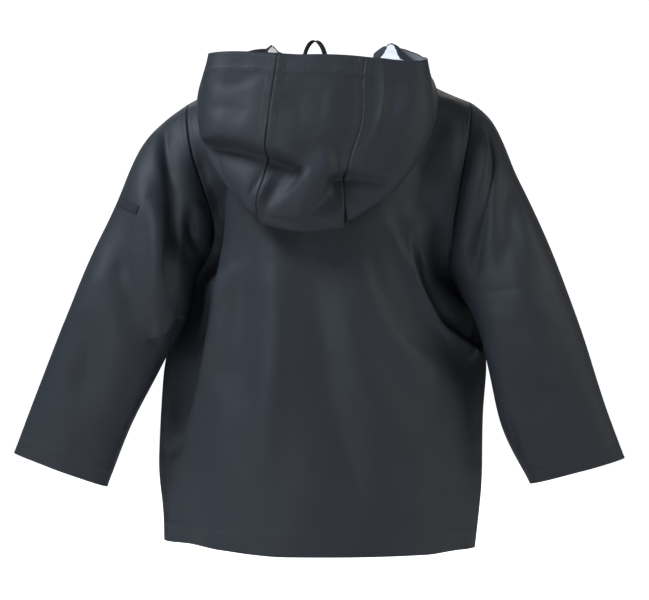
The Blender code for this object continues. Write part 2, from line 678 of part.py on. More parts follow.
class Panel:
    """A piece of cloth: the grid of its outer face, and the grid of its inner face once it has one."""

    def __init__(self, grid, closed=False, normals=None, inner=None):
        self.grid, self.closed = grid, closed
        self.normals = grid_normals(grid, closed) if normals is None else normals
        self.inner = grid - self.normals * WALL if inner is None else inner

    def border(self):
        """(row, column) of every point on an edge of the cloth."""
        rows, columns = self.grid.shape[:2]
        for i in range(rows):
            for j in range(columns):
                if i in (0, rows - 1) or (not self.closed and j in (0, columns - 1)):
                    yield i, j

    def into(self, i, j):
        """The direction from a border point into its own cloth."""
        rows, columns = self.grid.shape[:2]
        here, total = self.grid[i, j], np.zeros(3)
        if i in (0, rows - 1):
            total += unit(self.grid[1 if i == 0 else rows - 2, j] - here)
        if not self.closed and j in (0, columns - 1):
            total += unit(self.grid[i, 1 if j == 0 else columns - 2] - here)
        return total


def unit(vector):
    return vector / max(np.linalg.norm(vector), 1e-9)


def make_walls(panels):
    """Sets each panel's edges back from its neighbours'. Along a ridge or a flat seam both sides get
    one mitre. In a valley sharper than VALLEY each side keeps its own square edge."""
    meeting = {}
    for panel in panels:
        for i, j in panel.border():
            key = tuple(np.round(panel.grid[i, j], 2))
            meeting.setdefault(key, []).append((panel, i, j))
    grids = {panel: (panel.grid.copy(), panel.inner.copy()) for panel in panels}
    for users in meeting.values():
        if len(users) == 1:
            continue
        facing = np.array([panel.normals[i, j] for panel, i, j in users])
        into = np.array([unit(panel.into(i, j)) for panel, i, j in users])
        for me, (panel, i, j) in enumerate(users):
            valley = [max(into[it] @ facing[me], into[me] @ facing[it]) for it in range(len(users))]
            joined = [it for it in range(len(users)) if it == me or valley[it] < VALLEY]
            # The one step that takes the point a wall's thickness below every joined sheet.
            mitre = np.linalg.lstsq(facing[joined], np.full(len(joined), -WALL), rcond=0.15)[0]
            if abs(panel.grid[i, j, 1]) < 1 and len(joined) > 1:
                mitre = mitre * (1, 0, 1)  # side and shoulder seams lean to neither face
            mitre = mitre * min(1.0, MITRE_LIMIT * WALL / max(np.linalg.norm(mitre), 1e-6))
            along = unit(mitre)
            step = unit(into[me] - along * (into[me] @ along)) * GAP * 0.6
            if len(joined) < len(users):
                step = step - facing[me] * GAP * 0.5
            outer, inner = grids[panel]
            outer[i, j] = panel.grid[i, j] + step
            inner[i, j] = panel.grid[i, j] + step + mitre
    for panel, (outer, inner) in grids.items():
        panel.grid, panel.inner = outer, inner


def material(name, colour, roughness, metallic=0.0):
    made = bpy.data.materials.new(name)
    made.use_nodes = True
    shader = made.node_tree.nodes["Principled BSDF"]
    shader.inputs["Base Color"].default_value = (*colour, 1)
    shader.inputs["Roughness"].default_value = roughness
    shader.inputs["Metallic"].default_value = metallic
    made.diffuse_color = (*colour, 1)
    return made


def solid_object(name, bm, finish):
    """Turns a bmesh in millimetres into a closed, smooth-shaded object of the scene."""
    bmesh.ops.recalc_face_normals(bm, faces=bm.faces)
    bmesh.ops.scale(bm, vec=(MM, MM, MM), verts=bm.verts)
    mesh = bpy.data.meshes.new(name)
    bm.to_mesh(mesh)
    bm.free()
    mesh.shade_smooth()
    mesh.set_sharp_from_angle(angle=math.radians(50))
    made = bpy.data.objects.new(name, mesh)
    made.data.materials.append(finish)
    bpy.context.scene.collection.objects.link(made)
    return made


def wall_object(name, outer, inner, finish, closed=False):
    """The solid between two grids of the same size: the outer sheet is extruded to the inner one."""
    rows, columns = outer.shape[:2]
    bm = bmesh.new()
    slot = bm.verts.layers.int.new("slot")
    verts = []
    for k, point in enumerate(outer.reshape(-1, 3)):
        vert = bm.verts.new(point)
        vert[slot] = k
        verts.append(vert)
    for i in range(rows - 1):
        for j in range(columns if closed else columns - 1):
            k = (j + 1) % columns
            corners = (i * columns + j, i * columns + k, (i + 1) * columns + k, (i + 1) * columns + j)
            bm.faces.new([verts[c] for c in corners])
    made = bmesh.ops.extrude_face_region(bm, geom=list(bm.faces), use_keep_orig=True)
    flat = inner.reshape(-1, 3)
    moved = {item for item in made["geom"] if isinstance(item, bmesh.types.BMVert)}
    for item in moved:
        item.co = flat[item[slot]]
    # Both sides of a seam are cut along the same diagonal, or their twisted faces would cross.
    for face in [f for f in bm.faces if 0 < sum(v in moved for v in f.verts) < 4]:
        start = min((v for v in face.verts if v not in moved), key=lambda v: v.co @ SEAM_ORDER)
        opposite = [v for v in face.verts if v in moved and v[slot] != start[slot]]
        bmesh.utils.face_split(face, start, opposite[0])
    bmesh.ops.triangulate(bm, faces=bm.faces, quad_method="SHORT_EDGE")
    return solid_object(name, bm, finish)


# ---------------------------------------------------------------- small pieces


def hood_lining(hood, turns):
    """The jersey inside the hood, from the facing to the neck seam, made from the hood's points."""
    below = hood.inner
    top = np.interp(turns, column(LINING_TOPS, "turn"), column(LINING_TOPS, "below"))
    length = np.linalg.norm(np.diff(below, axis=0), axis=2).cumsum(axis=0)
    at = np.concatenate([np.zeros((1, len(turns))), length])
    before, after = HOOD_OUTER_ROWS - LINING_TURN, HOOD_OUTER_ROWS + 2
    share = (at[1 : before + 1] - at[1]) / (at[before] - at[1])
    places = top + (at[before] - top) * share
    upper = np.zeros((before, len(turns), 3))
    for j in range(len(turns)):
        for k in range(3):
            upper[:, j, k] = np.interp(places[:, j], at[:, j], below[:, j, k])
    past = np.minimum(places, 0) / at[1]
    upper += (below[1] - below[0]) * past[:, :, None]
    last = below[-1] + (below[-2] - below[-1]) * 0.2
    outside = np.array([*upper, *below[after:-1], last])
    for _ in range(2):  # a rounder turn than the shell's
        for i in range(before - 2, before + 2):
            outside[i] = outside[i] * 0.5 + (outside[i - 1] + outside[i + 1]) * 0.25
    outside = outside - grid_normals(outside) * (GAP + 0.1)
    shell = surface_tree([(below[:, ::-1], False)])
    inside = (GAP + 0.2) * (np.concatenate([places, places[-1:] + 0 * outside[before:, :, 0]]) > 2)
    outside = laid_on(outside, shell, inside)
    for end, neighbour in ((0, 1), (-1, -2)):  # it ends short of the hood's front edges
        outside[:, end] += (outside[:, neighbour] - outside[:, end]) * 0.2
    facing = grid_normals(outside)
    facing[1:-1] = facing[:-2] + facing[1:-1] * 2 + facing[2:]
    facing /= np.linalg.norm(facing, axis=2, keepdims=True)
    return outside, outside - facing * LINING


def placket(front_left, front_right):
    """The flap that covers the front closure, made from the fronts' own points."""
    rows = slice(0, -1)
    stack = [front_left.grid[rows, 1], front_left.grid[rows, 0]]
    stack += [front_right.grid[rows, -2]]
    lifts = [front_left.normals[rows, 1], front_left.normals[rows, 0], front_right.normals[rows, -2]]
    grid, lift = np.stack(stack, axis=1), np.stack(lifts, axis=1)
    under = grid + lift * GAP * 1.2
    return under + lift * PLACKET_WALL, under


def snap_object(name, place, normal, finish):
    """A round snap cap with a rolled edge and a shallow dish, on the placket."""
    bm = bmesh.new()
    profile = [
        (0.0, 0.0),
        (SNAP_RADIUS - 0.5, 0.0),
        (SNAP_RADIUS, 0.5),
        (SNAP_RADIUS, SNAP_HEIGHT - 0.7),
        (SNAP_RADIUS - 0.9, SNAP_HEIGHT),
        (SNAP_RADIUS * 0.55, SNAP_HEIGHT - 0.35),
        (0.0, SNAP_HEIGHT - 0.6),
    ]
    verts = [bm.verts.new((r, 0, h)) for r, h in profile]
    edges = [bm.edges.new(pair) for pair in zip(verts, verts[1:])]
    bmesh.ops.spin(
        bm,
        geom=verts + edges,
        cent=(0, 0, 0),
        axis=(0, 0, 1),
        angle=math.tau,
        steps=12,
        use_merge=True,
    )
    bmesh.ops.remove_doubles(bm, verts=bm.verts, dist=0.001)
    turn = Vector(normal).to_track_quat("Z", "Y").to_matrix().to_4x4()
    bmesh.ops.transform(bm, matrix=Matrix.Translation(Vector(place)) @ turn, verts=bm.verts)
    return solid_object(name, bm, finish)


def hanging_loop(back):
    """A tape arch inside the back of the neck, its feet against the inner face of the back."""
    outer, inner = [], []
    steps = 22
    behind = surface_tree([(back.inner, False)])
    foot_z = BACK_NECK_Z - LOOP_FOOT
    feet = []
    for x in (LOOP_MIDDLE_X - LOOP_HALF_SPAN, LOOP_MIDDLE_X + LOOP_HALF_SPAN):
        for edge in (-LOOP_TAPE / 2, LOOP_TAPE / 2):
            for z in (foot_z, foot_z + 4):
                feet.append(behind.ray_cast(Vector((x + edge, 0, z)), Vector((0, 1, 0)))[0].y)
    foot_y = min(feet) - GAP - LOOP_THICK / 2
    for k in range(steps + 1):
        angle = math.pi * k / steps
        rise = math.sin(angle) ** 0.75
        x = LOOP_MIDDLE_X + LOOP_HALF_SPAN * math.cos(angle)
        z = foot_z + (LOOP_RISE + LOOP_FOOT) * rise
        y = foot_y - 8.0 * min(1.0, rise * 3)
        tilt = math.radians(60) * ease(rise * 1.5) * (1 - 0.8 * k / steps)
        across = np.array([math.cos(tilt), math.sin(tilt), 0.0])
        tangent = np.array([-LOOP_HALF_SPAN * math.sin(angle), 0, LOOP_RISE * math.cos(angle)])
        across = unit(across - unit(tangent) * (across @ unit(tangent)))
        normal = unit(np.cross(unit(tangent), across))
        middle = np.array([x, y, z])
        for rows, away in ((outer, 0.5), (inner, -0.5)):
            rows.append(
                [middle + across * LOOP_TAPE * s + normal * LOOP_THICK * away for s in (-0.5, 0.5)]
            )
    return np.array(outer), np.array(inner)


def sleeve_label(sleeve):
    """A woven band round the sleeve's outer edge, made from the sleeve's points, moved out."""
    outer_edge = ARMHOLE_ROWS
    heights = sleeve.grid[:, outer_edge, 2]
    row = int(np.argmax(heights < LABEL_Z)) - 1
    middle = (LABEL_Z - heights[row]) / (heights[row + 1] - heights[row])
    span = np.linalg.norm(sleeve.grid[row + 1, outer_edge] - sleeve.grid[row, outer_edge])
    half = LABEL_HEIGHT / 2 / span
    middle = min(max(middle, half), 1 - half)

    def read(grid, share, at):
        j = int(at)
        line = grid[row] * (1 - share) + grid[row + 1] * share
        return line[j] + (line[j + 1] - line[j]) * (at - j)

    places = (*LABEL_COLUMNS[:1], *range(math.ceil(LABEL_COLUMNS[0]), outer_edge + 1), LABEL_COLUMNS[1])
    shares = (middle - half, middle + half)
    under = np.array([[read(sleeve.grid, h, at) for at in places] for h in shares])
    lift = np.array([[unit(read(sleeve.normals, h, at)) for at in places] for h in shares])
    clear = GAP * 1.6
    under = laid_on(under + lift * clear, surface_tree([(sleeve.grid, True)]), clear + 0 * lift[..., 0])
    return under + lift * LABEL_THICK, under


# ---------------------------------------------------------------- the coat


def build():
    for old in list(bpy.data.objects):
        bpy.data.objects.remove(old, do_unlink=True)

    back = back_panel()
    front_left, front_right = front_panel(LEFT), front_panel(RIGHT)
    body = [(back, False), (front_left, False), (front_right, False)]
    body_tree = surface_tree(body)
    sleeve_left = sleeve_panel(LEFT, back, front_left, body_tree)
    sleeve_right = sleeve_panel(RIGHT, back, front_right, body_tree)
    seam = neck_seam(back, front_left, front_right)
    turns = neck_turns(seam)
    hood = hood_panel(seam, surface_tree(body + [(sleeve_left, True), (sleeve_right, True)]))
    hood = Panel(hood, inner=hood_underside(hood))

    def hood_part(first_turn, last_turn):
        first, last = (int(np.argmin(np.abs(turns - t))) for t in (first_turn, last_turn))
        columns = slice(first, last + 1)
        return Panel(
            hood.grid[:, columns], normals=hood.normals[:, columns], inner=hood.inner[:, columns]
        )

    panels = {
        "back": Panel(back),
        "front_left": Panel(front_left),
        "front_right": Panel(front_right),
        "sleeve_left": Panel(sleeve_left, closed=True),
        "sleeve_right": Panel(sleeve_right, closed=True),
        "hood_right": hood_part(-180, -HOOD_SEAM_TURN),
        "hood_middle": hood_part(-HOOD_SEAM_TURN, HOOD_SEAM_TURN),
        "hood_left": hood_part(HOOD_SEAM_TURN, 180),
    }
    make_walls(list(panels.values()))
    navy = (0.030, 0.038, 0.050)
    shell = material("coated_cloth", navy, 0.45)
    for name, panel in panels.items():
        wall_object(name, panel.grid, panel.inner, shell, panel.closed)

    jersey = material("lining_jersey", (0.80, 0.80, 0.82), 0.9)
    wall_object("hood_lining", *hood_lining(hood, turns), jersey)

    flap_outer, flap_inner = placket(panels["front_left"], panels["front_right"])
    wall_object("placket", flap_outer, flap_inner, shell)
    metal = material("snap_metal", (0.10, 0.11, 0.13), 0.35, 0.8)
    line = flap_outer[np.argsort(flap_outer[:, 1, 2]), 1]
    slope = np.gradient(line[:, 1], line[:, 2])
    for k in range(SNAPS):
        z = SNAP_FIRST_Z + (SNAP_LAST_Z - SNAP_FIRST_Z) * k / (SNAPS - 1)
        normal = unit(np.array([0, -1.0, np.interp(z, line[:, 2], slope)]))
        place = np.array([0, np.interp(z, line[:, 2], line[:, 1]), z])
        snap_object(f"snap_{k + 1}", place + normal * (GAP + 0.25), normal, metal)

    tape = material("loop_tape", (0.05, 0.055, 0.06), 0.8)
    wall_object("hanging_loop", *hanging_loop(panels["back"]), tape)
    woven = material("woven_label", (0.06, 0.065, 0.08), 0.85)
    wall_object("sleeve_label", *sleeve_label(panels["sleeve_left"]), woven)


build()
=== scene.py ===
"""A child's hooded raincoat in coated cloth, filled out as if worn.

Each sewn panel is a thin sheet that follows its own solid, with its folds, seam welts, hems and
stitching. Lengths in the tables are in millimetres, x to the wearer's left, z up, as the solids are.
"""

from __future__ import annotations

import logging
import math
from collections.abc import Sequence
from dataclasses import dataclass, field
from enum import Enum

import bmesh
import bpy
import numpy as np
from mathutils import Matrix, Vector
from mathutils.bvhtree import BVHTree
from mathutils.kdtree import KDTree

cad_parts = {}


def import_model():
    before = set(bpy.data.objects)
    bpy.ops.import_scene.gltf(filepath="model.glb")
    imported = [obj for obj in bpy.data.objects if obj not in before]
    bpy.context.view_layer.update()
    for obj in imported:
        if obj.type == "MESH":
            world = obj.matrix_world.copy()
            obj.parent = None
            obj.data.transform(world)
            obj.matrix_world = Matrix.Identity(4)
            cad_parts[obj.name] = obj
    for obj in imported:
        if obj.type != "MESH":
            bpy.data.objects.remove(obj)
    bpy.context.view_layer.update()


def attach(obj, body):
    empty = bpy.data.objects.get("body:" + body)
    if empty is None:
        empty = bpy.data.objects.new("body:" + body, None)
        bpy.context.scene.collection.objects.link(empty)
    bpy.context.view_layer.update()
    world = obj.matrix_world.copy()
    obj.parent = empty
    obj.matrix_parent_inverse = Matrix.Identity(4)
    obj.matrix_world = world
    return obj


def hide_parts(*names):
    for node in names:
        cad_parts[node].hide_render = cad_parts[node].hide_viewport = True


LOG = logging.getLogger("raincoat")
MM = 0.001  # metres in one millimetre
CLOTH_WALL = 1.6  # coated cloth with its knitted backing
JERSEY_WALL = 1.0
BORDER_ROLL = 0.12  # how far the middle of a border stands out
SEAM_REACH = 1.3  # panels' edges closer than this are sewn together
MEET_WITHIN = 30.0  # how far from a seam two panels' folds still settle on each other
MEET_SOFT = 11.0  # how soft they do so
FAR = 999.0  # more than any distance on the coat, so it stands for a border that isn't there
GROWTH = 0.35  # the share of a crease's length over which it grows or fades
CRISP_ROUND, CRISP_POWER = 0.01, 0.62  # how round a crisp crease is at its very line, and how it runs out
LIP_GROWTH = 1.6  # a lip grows and fades this much slower than the crease below it
LIP_TAIL = 14.0  # and over this much more of its end
LIP_BOW = 0.055  # how far the face between crease and lip bows
BRINK, BRINK_POWER = 0.8, 1.15  # how soon the cloth comes out again beyond a tuck's crease
BINDING = 11.0  # the width of the binding inside the brim
BINDING_END = 7.0  # how far below a front tip the binding has its whole width
LINING_BORDER = 22.0  # from here inwards the lining hangs free of the hood
HEM_ROW, PLACKET_ROW, TAG_ROW = 20.5, 3.0, 1.4  # from a border to its row of stitches
TAG_END = (205.8, -166.5)  # x and z of the middle of the tag's inner end
TAG_SIZE = (40.0, 9.5)
TAG_SLOPE = math.radians(24)


class Side(Enum):
    """From where a crease is seen."""

    BACK = 1
    FRONT = -1


class Edge(Enum):
    """How a border of a panel is finished."""

    FREE = "free"
    SEAM = "seam"
    HEM = "hem"


@dataclass(frozen=True)
class Stroke:
    """A line drawn on one side of the coat, seen square on.

    Attributes:
        name: what it is.
        line: its points, x and z.
    """

    name: str
    line: tuple[tuple[float, float], ...]

    def near(
        self, places: np.ndarray, side: Side
    ) -> tuple[np.ndarray, np.ndarray, float, np.ndarray]:
        """Where each place lies along and beside the line.

        Args:
            places: x and z of each place, in millimetres.
            side: the side of the coat that the line is drawn on.

        Returns:
            The distance, above 0 to the left of its way, the share of the way along it, its length,
            and the way in x and z to its right.
        """
        mirror = np.array([-side.value, 1.0])
        line = through(np.array(self.line, float)[:, None], [6] * (len(self.line) - 1))[:, 0] * mirror
        at = places * mirror
        step = np.diff(line, axis=0)
        length = np.maximum(np.linalg.norm(step, axis=1), 1e-6)
        way = step / length[:, None]
        run = np.concatenate([[0], np.cumsum(length)])
        from_start = at[:, None] - line[None, :-1]
        along = np.clip(np.einsum("psk,sk->ps", from_start, way), 0, length)
        away = from_start - way[None] * along[..., None]
        distance = np.linalg.norm(away, axis=2)
        nearest = np.argmin(distance, axis=1)
        rows = np.arange(len(at))
        turn = way[nearest, 0] * away[rows, nearest, 1] - way[nearest, 1] * away[rows, nearest, 0]
        signed = distance[rows, nearest] * np.where(turn > 0, 1.0, -1.0)
        part = (run[nearest] + along[rows, nearest]) / run[-1]
        right = np.stack([way[nearest, 1], -way[nearest, 0]], axis=1) * mirror
        return signed, part, float(run[-1]), right


@dataclass(frozen=True)
class Crease(Stroke):
    """A ridge or trough along a line.

    Attributes:
        height: how far the cloth stands out, or in where it is below 0.
        left: how soft it is to the left of the line's way, seen from its side.
        right: how soft it is to the right.
        start: the share of its height at its start, which grows to all of it.
        end: the share at its end.
        crisp: whether its line is a sharp break, not a round one.
    """

    height: float
    left: float
    right: float
    start: float = 0.2
    end: float = 0.2
    crisp: bool = False

    def lift(self, places: np.ndarray, side: Side) -> tuple[np.ndarray, np.ndarray]:
        """How far each place is moved along its normal, and across.

        Args:
            places: x and z of each place, in millimetres.
            side: the side of the coat that the line is drawn on.

        Returns:
            The heights, and the slides in x and z, which are 0 at a crease, in millimetres.
        """
        signed, part, _, _ = self.near(places, side)
        soft = np.where(signed > 0, self.left, self.right)
        if self.crisp:
            share = np.exp(-np.power((signed / soft) ** 2 + CRISP_ROUND, CRISP_POWER))
        else:
            share = np.exp(-((signed / soft) ** 2))
        share *= np.minimum(
            self.start + (1 - self.start) * ease(part / GROWTH),
            self.end + (1 - self.end) * ease((1 - part) / GROWTH),
        )
        return self.height * share, np.zeros((len(places), 2))


@dataclass(frozen=True)
class Tuck(Stroke):
    """A lip of cloth that stands over a deep crease, on the left of the crease's way.

    Attributes:
        lip: how far the lip stands out.
        deep: how far in the crease lies.
        width: how far the lip's edge is from the crease.
        behind: how soft the cloth swells up to the lip.
        before: how soft it comes out again on the crease's other side.
        start: over how much of its length it grows, in millimetres.
        end: over how much it fades.
        over: how far the lip is drawn over the crease.
    """

    lip: float
    deep: float
    width: float
    behind: float
    before: float
    start: float = 20.0
    end: float = 20.0
    over: float = 0.0

    def lift(self, places: np.ndarray, side: Side) -> tuple[np.ndarray, np.ndarray]:
        """How far each place is moved along its normal, and across.

        Args:
            places: x and z of each place, in millimetres.
            side: the side of the coat that the line is drawn on.

        Returns:
            The heights, and the slides in x and z, in millimetres.
        """
        signed, part, length, right = self.near(places, side)
        before, after = part * length, (1 - part) * length
        grown = ease(before / self.start) * ease(after / self.end)
        lip = self.lip * ease(before / (self.start * LIP_GROWTH))
        lip = lip * ease(after / (self.end * LIP_GROWTH + LIP_TAIL))
        deep = self.deep * grown
        share = np.clip(signed / self.width, 0, 1)
        face = -deep + (lip + deep) * (share - np.sin(share * math.tau) * LIP_BOW)
        back = lip * np.exp(-((np.maximum(signed - self.width, 0) / self.behind) ** 2))
        front = -deep * np.exp(-np.abs(np.minimum(signed, 0) / (self.before * BRINK)) ** BRINK_POWER)
        height = np.where(signed < 0, front, np.where(signed < self.width, face, back))
        hang = np.exp(-(((signed - self.width) / (self.width * BRINK)) ** 2)) * self.over
        return height, right * (hang * grown)[:, None]


@dataclass(frozen=True)
class Pull:
    """A soft push of the cloth near one place.

    Attributes:
        name: what it makes.
        at: its middle.
        reach: how far it is felt along x, y and z.
        shift: how far the cloth at its middle is moved.
    """

    name: str
    at: tuple[float, float, float]
    reach: tuple[float, float, float]
    shift: tuple[float, float, float]

    def move(self, places: np.ndarray) -> np.ndarray:
        """How far each place is moved, all in millimetres."""
        near = np.exp(-((((places - np.array(self.at)) / np.array(self.reach)) ** 2).sum(axis=-1)))
        return near[..., None] * np.array(self.shift)


def ease(share: np.ndarray) -> np.ndarray:
    """A smooth step from 0 to 1."""
    share = np.clip(share, 0, 1)
    return share * share * (3 - 2 * share)


def unit(vectors: np.ndarray) -> np.ndarray:
    """The vectors at length 1."""
    return vectors / np.maximum(np.linalg.norm(vectors, axis=-1, keepdims=True), 1e-12)


def through(points: np.ndarray, steps: list[int], closed: bool = False) -> np.ndarray:
    """Smooth curves through lines of points along the first axis, straight into sharp corners.

    Args:
        points: the points, line by line along the second axis.
        steps: into how many pieces each span is cut.
        closed: whether the last point is joined to the first.

    Returns:
        The finer points.
    """
    following = np.roll(points, -1, axis=0)
    span = (following - points) if closed else np.diff(points, axis=0)
    length = np.maximum(np.linalg.norm(span, axis=2, keepdims=True), 1e-9)
    slope = span / length
    before, after = (np.roll(slope, 1, axis=0), slope) if closed else (slope[:-1], slope[1:])
    short, far = (np.roll(length, 1, axis=0), length) if closed else (length[:-1], length[1:])
    middle = (short * after + far * before) / (short + far)
    middle = middle * np.clip((np.sum(before * after, axis=2, keepdims=True) - 0.1) / 0.5, 0, 1)
    if closed:
        way = middle
    elif len(slope) == 1:
        way = np.concatenate([slope, slope])
    else:
        first, last = slope[:1] * 1.5 - middle[:1] * 0.5, slope[-1:] * 1.5 - middle[-1:] * 0.5
        way = np.concatenate([first, middle, last])
    rows = []
    for k, count in enumerate(steps):
        n = (k + 1) % len(points)
        for s in np.arange(count) / count:
            rows.append(
                (2 * s**3 - 3 * s**2 + 1) * points[k]
                + (s**3 - 2 * s**2 + s) * length[k] * way[k]
                + (3 * s**2 - 2 * s**3) * points[n]
                + (s**3 - s**2) * length[k] * way[n]
            )
    if not closed:
        rows.append(points[-1])
    return np.array(rows)


# ---------------------------------------------------------------- reading a panel's solid


def merged_copy(node: str) -> bmesh.types.BMesh:
    """A bmesh of a node of the frame, with its doubled points joined.

    Args:
        node: the node's name.

    Returns:
        The bmesh, which the caller frees.
    """
    bm = bmesh.new()
    bm.from_mesh(bpy.data.objects[node].data)
    bmesh.ops.remove_doubles(bm, verts=bm.verts, dist=2e-6)
    return bm


def outer_triangles(bm: bmesh.types.BMesh, wall: float, outward: Vector) -> list[bmesh.types.BMFace]:
    """The faces of a thin solid's outer sheet.

    Args:
        bm: the solid.
        wall: no edge across its rim is longer, and few others are shorter.
        outward: the outer sheet reaches further this way.

    Returns:
        The outer sheet's triangles.
    """
    rim = {face for face in bm.faces if any(edge.calc_length() < wall for edge in face.edges)}
    groups: list[list[bmesh.types.BMFace]] = []
    seen = set(rim)
    for face in bm.faces:
        if face in seen:
            continue
        seen.add(face)
        group = [face]
        for item in group:
            for edge in item.edges:
                for other in edge.link_faces:
                    if other not in seen:
                        seen.add(other)
                        group.append(other)
        groups.append(group)
    groups = sorted(groups, key=len)[-2:]
    owned = [{vert for face in group for vert in face.verts} for group in groups]
    for face in rim:
        for k in (0, 1):
            own, others = owned[k].issuperset(face.verts), owned[1 - k].issuperset(face.verts)
            if own and not others:
                groups[k].append(face)
    return max(groups, key=lambda group: max(face.calc_center_median().dot(outward) for face in group))


class Weave:
    """Finds the rows and columns of quads that a sheet of triangles was cut from."""

    def __init__(self, faces: list[bmesh.types.BMFace]) -> None:
        """Reads the triangles and their borders.

        Args:
            faces: the sheet's triangles.
        """
        self.free = {tuple(v.index for v in face.verts) for face in faces}
        self.place = {v.index: np.array(v.co) for face in faces for v in face.verts}
        self.by_edge: dict[frozenset[int], list[tuple[int, ...]]] = {}
        self.angle: dict[int, float] = {}
        for tri in self.free:
            for k in range(3):
                a, b, c = tri[k], tri[k - 1], tri[k - 2]
                self.by_edge.setdefault(frozenset((a, b)), []).append(tri)
                one, two = unit(self.place[b] - self.place[a]), unit(self.place[c] - self.place[a])
                self.angle[a] = self.angle.get(a, 0) + math.acos(float(np.clip(one @ two, -1, 1)))

    def borders(self) -> list[list[int]]:
        """Walks round the open edges.

        Returns:
            The border loops, as lists of points.
        """
        beside: dict[int, list[int]] = {}
        for edge, faces in self.by_edge.items():
            if len(faces) == 1:
                a, b = edge
                beside.setdefault(a, []).append(b)
                beside.setdefault(b, []).append(a)
        loops = []
        left = set(beside)
        while left:
            loop = [min(left)]
            left.discard(loop[0])
            while True:
                on = [v for v in beside[loop[-1]] if v in left]
                if not on:
                    break
                loop.append(min(on))
                left.discard(loop[-1])
            loops.append(loop)
        return loops

    def take(self, a: int, b: int) -> int | None:
        """Uses up the free triangle on an edge.

        Args:
            a: one end of the edge.
            b: its other end.

        Returns:
            The triangle's far corner, or None where there isn't just one such triangle.
        """
        found = [t for t in self.by_edge.get(frozenset((a, b)), []) if t in self.free]
        if len(found) != 1:
            return None
        self.free.discard(found[0])
        return next(v for v in found[0] if v not in (a, b))

    def row(self, upper: list[int], first: int, closed: bool) -> list[int] | None:
        """The next row of points below a row, from its first point.

        Args:
            upper: the points of the row above.
            first: the first point of the new row.
            closed: whether the row is a ring.

        Returns:
            The new row, or None where the triangles give none from that point.
        """
        kept = set(self.free)
        lower = [first]
        for j in range(len(upper) if closed else len(upper) - 1):
            a, b, d = upper[j], upper[(j + 1) % len(upper)], lower[-1]
            c = self.take(a, b)
            if c is None:
                break
            other = self.take(b, d) if c == d else self.take(c, a)
            if other is None or (c != d and other != d):
                break
            lower.append(other if c == d else c)
        if len(lower) == len(upper) + closed and (not closed or lower[-1] == first):
            return lower[: len(upper)]
        self.free = kept
        return None

    def grid(self, rows: int, columns: int) -> np.ndarray:
        """Reads an open sheet.

        Args:
            rows: how many rows of points it has.
            columns: how many points each row has.

        Returns:
            Its points, row by row.
        """
        loop = max(self.borders(), key=len)
        size = len(loop)
        if size != 2 * (rows + columns) - 4:
            raise ValueError(f"a border of {size} points, not {2 * (rows + columns) - 4}")
        turn = np.array([self.angle[v] for v in loop])
        stops = np.array([0, columns - 1, rows + columns - 2, rows + 2 * columns - 3])
        start = min(range(size), key=lambda s: turn[(s + stops) % size].sum())
        table = [[loop[(start + j) % size] for j in range(columns)]]
        for i in range(1, rows):
            found = self.row(table[-1], loop[(start - i) % size], False)
            if found is None:
                raise ValueError(f"row {i} isn't made of quads")
            table.append(found)
        return np.array([[self.place[v] for v in row] for row in table])

    def tube(self, rows: int, columns: int) -> np.ndarray:
        """Reads a tube.

        Args:
            rows: how many rings of points it has.
            columns: how many points each ring has.

        Returns:
            Its points, ring by ring from its upper end.
        """
        loop = max(self.borders(), key=lambda item: np.mean([self.place[v][2] for v in item]))
        table = [loop[:columns]]
        for _ in range(1, rows):
            best: tuple[float, list[int]] | None = None
            starts = {v for tri in self.free if table[-1][0] in tri for v in tri} - set(table[-1])
            for start in sorted(starts):
                kept = set(self.free)
                found = self.row(table[-1], start, True)
                self.free = kept
                if found:
                    spans = (self.place[a] - self.place[b] for a, b in zip(table[-1], found))
                    length = sum(float(np.linalg.norm(span)) for span in spans)
                    if best is None or length < best[0]:
                        best = (length, found)
            if best is None:
                raise ValueError("a ring isn't made of quads")
            table.append(self.row(table[-1], best[1][0], True) or best[1])
        return np.array([[self.place[v] for v in row] for row in table])


# ---------------------------------------------------------------- a sheet of cloth


